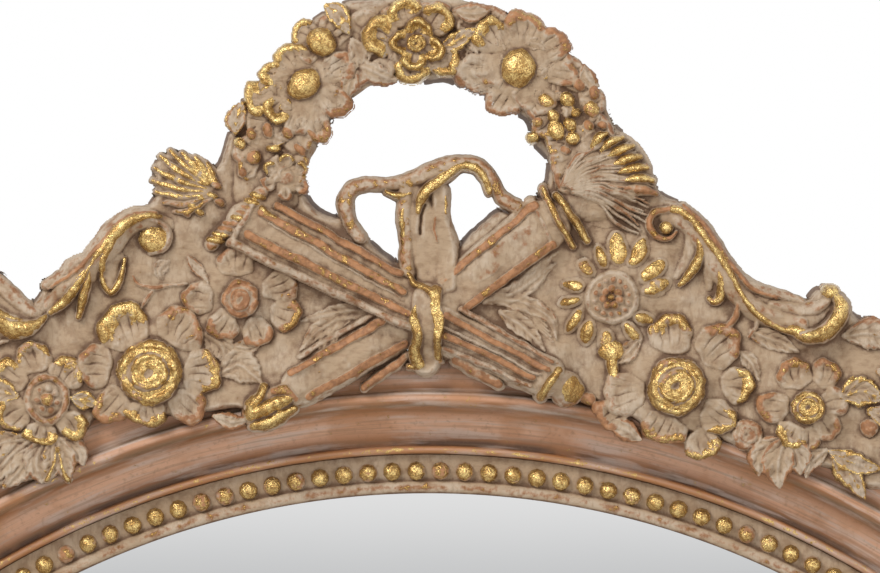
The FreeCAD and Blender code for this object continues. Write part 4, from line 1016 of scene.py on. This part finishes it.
def clearSlivers(r):
    # cells of a piece too thin to cast go to the ground under them, or away where there is none
    board = r.names.index("crest_board")
    for k in range(len(r.names)):
        mine = (r.owner == k) & (r.height > -2 if k != board else r.height > -60)
        core = mine.copy()
        for axis in (0, 1):
            core &= np.roll(core, 1, axis) & np.roll(core, -1, axis)
        for axis in (0, 1):
            core = core | np.roll(core, 1, axis) | np.roll(core, -1, axis)
        thin = mine & ~core
        r.height = np.where(thin & (r.under["crest_board"] < -20), -99.0, r.height)
        r.owner = np.where(thin & (k != board), board, r.owner)
    # what a flower of the wreath has below its seat is the ring's
    ring = r.names.index("wreath_ring")
    low = r.height <= (mould["seat"] - mould["wreathSeat"]) / photo["pixel"] + 0.5
    for name in [*wreath["flowers"], "wreath_berries"]:
        r.owner = np.where(low & (r.owner == r.names.index(name)), ring, r.owner)
    for name, k in (("crest_board", board), ("wreath_ring", ring)):
        r.under[name] = np.where((r.owner == k) & (r.height > -56), r.height, r.under[name])


def carveCrest():
    r = Relief()
    layGround(r)
    for points, radius, height in swells:
        r.swell(points, radius, height)
    laySprigs(r)
    r.keep("crest_board")
    layWreathRing(r)
    layFlame(r)
    layFletching(r)
    for name, plan in scrolls.items():
        layScroll(r, name, plan)
    for name, plan in flowers.items():
        layFlower(r, name, plan)
    laySideHeart(r)
    laySunflower(r)
    layQuivers(r)
    layRibbon(r)
    layWreathFlowers(r)
    layLeaves(r)
    tool = 0.25 * rough(r.x, r.y, 5, 71)  # marks of the tool
    r.height = np.minimum(r.height + tool, 42.0)
    solid = np.maximum(r.height, -25)
    fine, broad, wide = [r.height - blur(solid, reach) for reach in (1.6, 6, 14)]
    # ridge marks convex places, which the patina paints paler as highlight and wears to copper; crease marks
    # concave places, which it paints darker as grime and shade and keeps gold out of
    r.ridge = np.clip(fine / 0.9, 0, 1) * 0.6 + np.clip(broad / 4, 0, 1) * 0.4
    r.crease = np.clip(-fine / 1.6, 0, 1) * 0.55 + np.clip(-broad / 5, 0, 1) * 0.5
    r.crease = np.clip(r.crease + np.clip(-wide / 10, 0, 1) * 0.4, 0, 1)
    clearSlivers(r)
    return r


def castPiece(r, name, material):
    # a grid over the piece, raised to the relief, walled at its rim and cut flat at its seat
    seat = mould["seat"]
    back = seat
    k = r.names.index(name)
    height = r.height
    mine = r.owner == k
    if name in r.under:
        edge = mine.copy()
        edge[1:, :] |= mine[:-1, :]
        edge[:, 1:] |= mine[:, :-1]
        edge[1:, 1:] |= mine[:-1, :-1]
        hidden = -0.6 if name == "crest_board" else (seat - mould["wreathSeat"]) / photo["pixel"] - 0.6
        height = np.where(edge, r.height, np.minimum(r.under[name] - 0.6, hidden))
        mine = r.under[name] > -98
    if name == "crest_board":
        back = mould["boardBack"]
    elif name in wreath["flowers"] or name == "wreath_berries":
        back = mould["wreathSeat"]
    depth = (seat - back) / photo["pixel"]
    corner = np.maximum(np.maximum(height[:-1, :-1], height[1:, :-1]),
                        np.maximum(height[:-1, 1:], height[1:, 1:]))
    cell = mine[:-1, :-1] & (corner > depth)
    for _ in range(3):  # cells that touch only at a corner are joined
        a, b, c, d = cell[:-1, :-1], cell[:-1, 1:], cell[1:, :-1], cell[1:, 1:]
        cross = (a & d & ~b & ~c) | (b & c & ~a & ~d)
        for part in (a, b, c, d):
            part |= cross
    rows, cols = np.where(cell)
    i0, i1, j0, j1 = rows.min(), rows.max() + 1, cols.min(), cols.max() + 1
    clearSelection()
    bpy.ops.mesh.primitive_grid_add(x_subdivisions=j1 - j0, y_subdivisions=i1 - i0, size=2)
    obj = bpy.context.object
    obj.name = obj.data.name = name + "_carved"
    co = coords(obj)
    j = np.rint((co[:, 0] + 1) / 2 * (j1 - j0)).astype(int) + j0
    i = np.rint((1 - co[:, 1]) / 2 * (i1 - i0)).astype(int) + i0
    setCoords(obj, np.column_stack(((r.x[i, j] - photo["axisX"]) * photo["pixel"],
                                    seat - height[i, j] * photo["pixel"],
                                    topZ + (photo["arcY"] - r.y[i, j]) * photo["pixel"])))
    centre = np.empty(len(obj.data.polygons) * 4, int)
    obj.data.polygons.foreach_get("vertices", centre)
    quads = centre.reshape(-1, 4)
    spare = ~cell[i[quads].min(1), j[quads].min(1)]
    obj.data.polygons.foreach_set("select", spare)
    editMode()
    bpy.ops.mesh.select_mode(type="FACE")
    objectMode()
    obj.data.polygons.foreach_set("select", spare)
    editMode()
    bpy.ops.mesh.delete(type="FACE")
    bpy.ops.mesh.select_mode(type="EDGE")
    bpy.ops.mesh.select_all(action="DESELECT")
    bpy.ops.mesh.select_non_manifold(extend=False, use_wire=False, use_boundary=True, use_multi_face=False,
                                     use_non_contiguous=False, use_verts=False)
    bpy.ops.mesh.mark_sharp()
    bpy.ops.mesh.extrude_edges_move(TRANSFORM_OT_translate={"value": (0, 0.06, 0)})
    bpy.ops.mesh.select_all(action="SELECT")
    bpy.ops.mesh.bisect(plane_co=(0, back, 0), plane_no=(0, 1, 0), clear_outer=True, threshold=1e-7)
    bpy.ops.mesh.select_all(action="DESELECT")
    bpy.ops.mesh.select_non_manifold(extend=False, use_wire=False, use_boundary=True, use_multi_face=False,
                                     use_non_contiguous=False, use_verts=False)
    bpy.ops.mesh.fill(use_beauty=False)
    bpy.ops.mesh.select_all(action="SELECT")
    bpy.ops.mesh.normals_make_consistent(inside=False)
    objectMode()
    count = sum(len(face.vertices) - 2 for face in obj.data.polygons)
    if count > field["mostTriangles"]:
        bpy.ops.object.modifier_add(type="DECIMATE")
        obj.modifiers[0].ratio = field["mostTriangles"] / count
        bpy.ops.object.modifier_apply(modifier=obj.modifiers[0].name)
    bpy.ops.object.shade_smooth()
    co = coords(obj)
    u = (co[:, 0] / photo["pixel"] + photo["axisX"] - field["left"]) / field["step"]
    v = (photo["arcY"] - (co[:, 2] - topZ) / photo["pixel"] - field["top"]) / field["step"]
    paint(obj, gold=bilinear(r.gold, u, v), copper=bilinear(r.copper, u, v), ridge=bilinear(r.ridge, u, v),
          crease=bilinear(r.crease, u, v))
    dress(obj, material, name)
    return obj


patina = patinaMaterial()
relief = carveCrest()
print("relief carved", relief.height.shape)
for name in relief.names:
    piece = castPiece(relief, name, patina)
    print(piece.name, len(piece.data.polygons))

# rails run round an oval of four arcs: centre x, centre z, sight radius, first angle
arcs = dict(top=(0.0, topZ, mould["endRadius"], 45), left=(mould["rise"], ovalZ, sideRadius, 135),
            bottom=(0.0, 2 * ovalZ - topZ, mould["endRadius"], 225),
            right=(-mould["rise"], ovalZ, sideRadius, 315))
# reach outwards from the sight edge and height above the frame's back, in mm
rail = dict(steps=90, soften=0.35,
            profile=[(8, 0), (50, 0), (50, 25), ("arc", (45.5, 29.2), (38, 30)), (36, 30), (36, 31.5),
                     ("arc", (33.5, 34), (31, 31.5)), (31, 27),
                     ("arc", (27.34, 18.16), (18.5, 14.5)), (17, 14.5), (17, 16.5),
                     ("arc", (15.5, 18), (14, 16.5)), (14, 11.5), (1.5, 11.5),
                     (1.5, 9), (8, 9)])
slip = dict(profile=[(0, 9.2), (1.3, 9.2), (1.3, 11.5), (13.8, 11.5), (13.8, 14.2), (10.8, 14.0), (5.0, 14.0),
                     (4.5, 14.2),
                     ("arc", (2.25, 15.4), (0, 14.2))], soften=0.25, beadReach=7.9, beadHeight=14.7, bead=3.2,
                     pitch=8.5)


def arcThrough(a, b, c, count=12):
    ax, ay = np.array(a, float)
    (bx, by), (cx, cy) = b, c
    d = 2 * (ax * (by - cy) + bx * (cy - ay) + cx * (ay - by))
    aa, bb, cc = ax * ax + ay * ay, bx * bx + by * by, cx * cx + cy * cy
    ux = (aa * (by - cy) + bb * (cy - ay) + cc * (ay - by)) / d
    uy = (aa * (cx - bx) + bb * (ax - cx) + cc * (bx - ax)) / d
    first, mid, last = [math.atan2(q[1] - uy, q[0] - ux) for q in (a, b, c)]
    span = (last - first) % (2 * math.pi)
    if (mid - first) % (2 * math.pi) > span:
        span -= 2 * math.pi
    r = math.hypot(ax - ux, ay - uy)
    return [(ux + r * math.cos(first + span * k / count),
             uy + r * math.sin(first + span * k / count)) for k in range(1, count + 1)]


def softProfile(profile, soften):
    # arcs drawn out and every sharp corner eased
    pts = []
    for item in profile:
        if item[0] == "arc":
            pts += arcThrough(pts[-1], item[1], item[2])
        else:
            pts.append(item)
    pts = np.array(pts, float)
    out = []
    for k, p in enumerate(pts):
        before, after = pts[k - 1] - p, pts[(k + 1) % len(pts)] - p
        la, lb = np.hypot(*before), np.hypot(*after)
        turn = abs(math.atan2(before[0] * after[1] - before[1] * after[0], before @ after))
        if turn > 2.7:
            out.append(p)
            continue
        ease1, ease2 = before / la * min(soften, la * 0.45), after / lb * min(soften, lb * 0.45)
        for t in (0.0, 0.33, 0.67, 1.0):
            out.append(p + ease1 * (1 - t) ** 2 + ease2 * t * t)
    # long flats get points between, so that the finish follows them
    full = []
    for k, p in enumerate(out):
        q = out[(k + 1) % len(out)]
        count = max(1, int(np.hypot(*(q - p)) / 1.6))
        full += [p + (q - p) * m / count for m in range(count)]
    return np.array(full) * 1e-3


def spunRail(name, arc, profile, steps):
    # the section as a loop of vertices, spun about the arc's own centre
    cx, cz, radius, start = arc
    clearSelection()
    bpy.ops.mesh.primitive_circle_add(vertices=len(profile), radius=1, fill_type="NOTHING")
    obj = bpy.context.object
    obj.name = obj.data.name = name
    a = math.radians(start)
    reach = radius + profile[:, 0]
    setCoords(obj, np.column_stack((cx + reach * math.cos(a), mould["back"] - profile[:, 1],
                                    cz + reach * math.sin(a))))
    editMode()
    bpy.ops.mesh.select_all(action="SELECT")
    bpy.ops.mesh.edge_face_add()
    objectMode()
    editMode()
    bpy.ops.mesh.select_all(action="SELECT")
    bpy.ops.mesh.spin(steps=steps, angle=math.pi / 2, center=(cx, 0, cz), axis=(0, 1, 0))
    bpy.ops.mesh.select_all(action="SELECT")
    bpy.ops.mesh.remove_doubles(threshold=1e-6)
    bpy.ops.mesh.normals_make_consistent(inside=False)
    objectMode()
    bpy.ops.object.shade_smooth_by_angle(angle=math.radians(50))
    return obj


def arcPlace(obj, arc):
    # reach from the sight edge, height above the frame's back and run along the rail
    cx, cz, radius, start = arc
    co = coords(obj)
    dx, dz = co[:, 0] - cx, co[:, 2] - cz
    run = (np.arctan2(dz, dx) - math.radians(start)) % (2 * math.pi)
    run = np.where(run > math.pi * 1.5, run - 2 * math.pi, run)
    return np.hypot(dx, dz) - radius, mould["back"] - co[:, 1], run * radius


def mouldingMaterial():
    # copper-brown patina with taupe left in the hollows and flecks of gold leaf
    material, shader, place = newMaterial("moulding_patina")
    reach, along = place.painted("reach"), place.painted("along")
    # the colours across the profile paint light as well as tone: dark and umber at the grooves (17 to 18.3,
    # 31 and 36.3 mm) and rust beside them are painted shade; clay on the astragal's crown, lilac on the torus
    # crown and the cove lighter in its middle are painted highlight
    stops = [(0.0, "umber"), (1.6, "taupe"), (13.2, "taupe"), (14.0, "rust"), (15.0, "copper"),
             (15.6, "clay"), (16.3, "copper"), (17.0, "dark"), (18.3, "dark"),
             (19.4, "rust"), (21.2, "clay"), (23.0, "cove"), (25.5, "cove"), (28.0, "clay"), (30.2, "rust"),
             (31.0, "umber"), (32.6, "rust"), (33.8, "clay"),
             (34.8, "clay"), (35.4, "lilac"), (36.3, "umber"), (37.4, "rust"), (39.5, "clay"), (44.0, "cove"),
             (50.0, "clay")]
    base = reach.node("ValToRGB", {"stops": [(u / 50, tones[tone]) for u, tone in stops]},
                      {0: reach * (1 / 0.050)})
    strip = place.node("CombineXYZ", {}, {0: along, 1: reach * 9.0})
    cloud, streak = place.noise(45.0), strip.noise(34.0, 5.0)
    grain, fleck = place.noise(520.0), place.noise(1500.0, 3.0)
    stroke = place.node("CombineXYZ", {}, {0: along, 1: reach * 30.0}).noise(30.0, 4.0)
    base = (streak.ramp(0.46, 0.64) * 0.6).blend(base, tones["lilac"])
    base = (cloud.ramp(0.46, 0.64) * 0.5).blend(base, tones["copper"])
    base = (stroke.ramp(0.48, 0.64) * 0.35).blend(base, tones["umber"])
    base = (grain.ramp(0.52, 0.75) * 0.35).blend(base, tones["umber"])
    crown = place.painted("gilt")
    gilt = crown * 0.34 + (cloud - 0.5) * 0.6 + (streak - 0.5) * 0.7
    gilt = (gilt + (grain - 0.5) * 1.2 + (fleck - 0.5) * 0.8).ramp(0.40, 0.47)
    leaf = fleck.ramp(0.35, 0.7).blend(tones["gold"], tones["brass"])
    feed(shader, Base_Color=gilt.blend(base, leaf), Metallic=gilt * 0.9,
         Roughness=0.55 - gilt * 0.2 + (grain - 0.5) * 0.25,
         Normal=bump(grain * 0.6 + fleck * 0.5 + streak * 0.4, 0.3, 0.0003))
    return material


def beadRow(arc, draw):
    # one bead, copied along the slip with a little irregularity and its own wear
    cx, cz, radius, start = arc
    clearSelection()
    bpy.ops.mesh.primitive_uv_sphere_add(segments=10, ring_count=6, radius=slip["bead"] * 1e-3)
    bead = bpy.context.object
    shape = coords(bead)[:, [0, 2, 1]]
    count = int(round((radius + slip["beadReach"] * 1e-3) * math.pi / 2 / (slip["pitch"] * 1e-3)))
    beads = [bead]
    worn = []
    for k in range(count):
        if k:
            clearSelection()
            bead.select_set(True)
            bpy.context.view_layer.objects.active = bead
            bpy.ops.object.duplicate()
            beads.append(bpy.context.object)
        a = math.radians(start) + math.pi / 2 * (k + 0.5) / count
        reach = radius + slip["beadReach"] * 1e-3
        size = draw.uniform(0.96, 1.05, 3)
        spot = np.array((cx + reach * math.cos(a), mould["back"] - slip["beadHeight"] * 1e-3,
                         cz + reach * math.sin(a)))
        setCoords(beads[-1], shape * size * (1.03, 1.0, 1.03) + spot)
        worn.append(draw.uniform(0.35, 1.25))
        # the front of each bead is painted paler as ridge, a painted highlight, and its foot darker as
        # crease, a ring of painted shade round it
        bump = np.hypot(shape[:, 0], shape[:, 2]) / (slip["bead"] * 1e-3)
        front = np.clip(-shape[:, 1] / (slip["bead"] * 1e-3), 0, 1)
        paint(beads[-1], gold=worn[-1] * (0.75 + 0.25 * front), copper=0.9 + 0 * front, ridge=front,
              crease=ease(0.92, 1.0, bump) * 0.4)
    return beads


def carveRails(material, patina):
    section = softProfile(rail["profile"], rail["soften"])
    lining = softProfile(slip["profile"], slip["soften"])
    draw = np.random.RandomState(11)
    for side, arc in arcs.items():
        obj = spunRail(side + "_moulding", arc, section, rail["steps"])
        reach, height, along = arcPlace(obj, arc)
        front = height > 0.010
        crown = np.exp(-((reach - 0.0155) / 0.0012) ** 2) + 0.5 * np.exp(-((reach - 0.0335) / 0.002) ** 2)
        crown = crown + 0.25 * (reach > 0.0185) * (reach < 0.030)
        paint(obj, reach=reach, along=along, gilt=crown * front)
        dress(obj, material, side + "_rail")
        beads = beadRow(arc, draw)
        line = spunRail("bead_slip_%s_gilded" % side, arc, lining, rail["steps"])
        reach, height, along = arcPlace(line, arc)
        # the lip's crown is painted paler as highlight; the groove behind the lip, the sight edge and the
        # outer edge are painted dark as shade
        lip = np.exp(-((reach - 0.0022) / 0.0016) ** 2)
        groove = np.exp(-((reach - 0.0047) / 0.0007) ** 2)
        groove = groove + ease(0.0012, 0.0, reach) + ease(0.0132, 0.0140, reach)
        paint(line, gold=0.16 * lip, copper=0.38 * lip + 0.36, ridge=lip * 0.5, crease=np.clip(groove, 0, 1))
        clearSelection()
        for bead in beads:
            bead.select_set(True)
        line.select_set(True)
        bpy.context.view_layer.objects.active = line
        bpy.ops.object.shade_smooth()
        bpy.ops.object.join()
        dress(line, patina, "bead_slip_" + side)
        print(side, "rail and slip", len(obj.data.polygons), len(line.data.polygons))


carveRails(mouldingMaterial(), patina)


def woodMaterial():
    material, shader, place = newMaterial("plain_softwood", Roughness=0.7)
    grain = place.stretched((14.0, 60.0, 90.0)).noise(3.0, 6.0, 0.6)
    fine = place.noise(700.0, 3.0)
    base = grain.ramp(0.35, 0.65).blend(colour(196, 160, 116), colour(160, 120, 80))
    feed(shader, Base_Color=(fine.ramp(0.5, 0.75) * 0.3).blend(base, colour(120, 88, 58)),
         Roughness=0.62 + fine * 0.25, Normal=bump(grain + fine * 0.4, 0.25, 0.0003))
    return material


def hardboardMaterial():
    # pressed fibre, smooth and brown
    material, shader, place = newMaterial("pressed_hardboard")
    fibre, cloud, speck = place.noise(900.0, 5.0, 0.7), place.noise(12.0), place.noise(2400.0, 2.0)
    base = cloud.ramp(0.3, 0.7).blend(colour(136, 98, 66), colour(118, 82, 54))
    base = (fibre.ramp(0.48, 0.7) * 0.55).blend(base, colour(92, 62, 40))
    base = (speck.ramp(0.62, 0.72) * 0.5).blend(base, colour(178, 142, 104))
    feed(shader, Base_Color=base, Roughness=0.55 + fibre * 0.25,
         Normal=bump(fibre + speck * 0.3, 0.3, 0.0002))
    return material


def steelMaterial():
    material, shader, place = newMaterial("zinc_plate", Metallic=1.0)
    cloud, grain = place.noise(140.0), place.noise(1800.0, 3.0)
    base = cloud.ramp(0.35, 0.7).blend(colour(190, 190, 188), colour(150, 150, 152))
    base = (grain.ramp(0.58, 0.75) * 0.5).blend(base, colour(118, 112, 104))
    feed(shader, Base_Color=base, Roughness=0.3 + cloud * 0.2 + grain * 0.1, Normal=bump(grain, 0.15, 0.0001))
    return material


def rubberMaterial():
    material, shader, place = newMaterial("felted_rubber")
    grain, cloud = place.noise(1500.0, 4.0), place.noise(200.0)
    base = cloud.ramp(0.3, 0.7).blend(colour(52, 50, 48), colour(72, 69, 66))
    feed(shader, Base_Color=(grain.ramp(0.5, 0.8) * 0.4).blend(base, colour(98, 94, 90)),
         Roughness=0.75 + grain * 0.2, Normal=bump(grain, 0.35, 0.0002))
    return material


def foamMaterial():
    material, shader, place = newMaterial("packing_foam", Roughness=0.9)
    cells = place.node("TexVoronoi", {}, {"Vector": place, "Scale": 900.0})
    feed(shader, Base_Color=cells.ramp(0.1, 0.7).blend(colour(216, 214, 208), colour(176, 174, 168)),
         Normal=bump(cells, 0.4, 0.0004))
    return material


def glassMaterial():
    # silvered glass, a touch darker and clouded lower down; the darkening is a painted reflection
    material, shader, place = newMaterial("silvered_mirror", Metallic=1.0)
    low = place.node("SeparateXYZ", {}, {0: place}, 2).ramp(0.195, 0.150)
    cloud, haze = place.noise(5.0, 3.0), place.noise(260.0, 4.0)
    base = (low + (cloud - 0.5) * 0.25).blend(colour(224, 224, 224), colour(194, 195, 196))
    feed(shader, Base_Color=base, Roughness=0.035 + haze.ramp(0.55, 0.8) * 0.04)
    return material


finishes = dict(silvered_glass=glassMaterial(), foam_sheet=foamMaterial(), hardboard=hardboardMaterial(),
                plain_wood=woodMaterial(),
                rubber=rubberMaterial(), zinc_steel=steelMaterial())
for part in frame["record"]["subparts"]:
    if part["material_slot"] in finishes:
        node = nodes[part["node"]]
        if not node.material_slots:
            node.data.materials.append(None)
        for held in node.material_slots:
            held.material = finishes[part["material_slot"]]

# bare wood on the back of the crest
board = bpy.data.objects["crest_board_carved"]
board.data.materials.append(finishes["plain_wood"])
for face in board.data.polygons:
    if face.normal.y > 0.9 and face.center.y > mould["boardBack"] - 1e-4:
        face.material_index = 1

studio = dict(floorSize=4.0, away=4.0, scalePlane=-0.047, background=1.0, ambient=0.5, key=40.0, fill=8.0,
              front=52.0)


def floorMaterial():
    material, shader, place = newMaterial("pale_floor", Roughness=0.9)
    grain = place.noise(180.0)
    feed(shader, Base_Color=grain.ramp(0.3, 0.7).blend(colour(238, 238, 236), colour(230, 230, 228)),
         Normal=bump(grain, 0.05, 0.0005))
    return material


def layFloor():
    clearSelection()
    bpy.ops.mesh.primitive_plane_add(size=studio["floorSize"], location=(0, -0.6, cadBox[0][2] - 0.0005))
    floor = bpy.context.object
    floor.name = "floor"
    bpy.ops.object.transform_apply(location=True)
    floor.data.materials.append(floorMaterial())


def lamp(name, place, aim, size, power):
    data = bpy.data.lights.new(name, "AREA")
    data.shape, data.size, data.energy = "DISK", size, power
    obj = bpy.data.objects.new(name, data)
    bpy.context.collection.objects.link(obj)
    obj.location = place
    obj.rotation_euler = (Vector(aim) - Vector(place)).to_track_quat("-Z", "Y").to_euler()


def lightStudio():
    world = bpy.data.worlds.new("studio")
    bpy.context.scene.world = world
    world.use_nodes = True
    tree = world.node_tree
    rays = Link(tree).node("LightPath")
    outputs = rays.socket.node.outputs
    glossy, through = [Link(tree, outputs[k]) for k in ("Is Glossy Ray", "Is Transmission Ray")]
    seen = rays.sum("MAXIMUM", rays.sum("MAXIMUM", rays, glossy), through)
    ground = tree.nodes["Background"]
    ground.inputs["Color"].default_value = (1, 1, 1, 1)
    strength = seen * (studio["background"] - studio["ambient"]) + studio["ambient"]
    tree.links.new(strength.socket, ground.inputs["Strength"])
    lamp("key", (-1.3, -1.7, 1.7), (0, 0, 0.15), 1.1, studio["key"])
    lamp("fill", (1.7, -1.6, 0.5), (0, 0, 0.1), 1.4, studio["fill"])
    lamp("front", (0.1, -2.6, -1.2), (0, 0, 0.15), 1.3, studio["front"])


def placeCamera():
    data = bpy.data.cameras.new("view")
    camera = bpy.data.objects.new("view", data)
    bpy.context.collection.objects.link(camera)
    middle = ((photo["width"] / 2 - photo["axisX"]) * photo["pixel"],
              topZ + (photo["arcY"] - photo["height"] / 2) * photo["pixel"])
    camera.location = (middle[0], -studio["away"], middle[1])
    camera.rotation_euler = (math.pi / 2, 0, 0)
    span = photo["width"] * photo["pixel"]
    data.lens = data.sensor_width * (studio["away"] + studio["scalePlane"]) / span
    data.clip_end = 50
    bpy.context.scene.camera = camera


layFloor()
lightStudio()
placeCamera()
bpy.context.scene.view_settings.view_transform = "Standard"
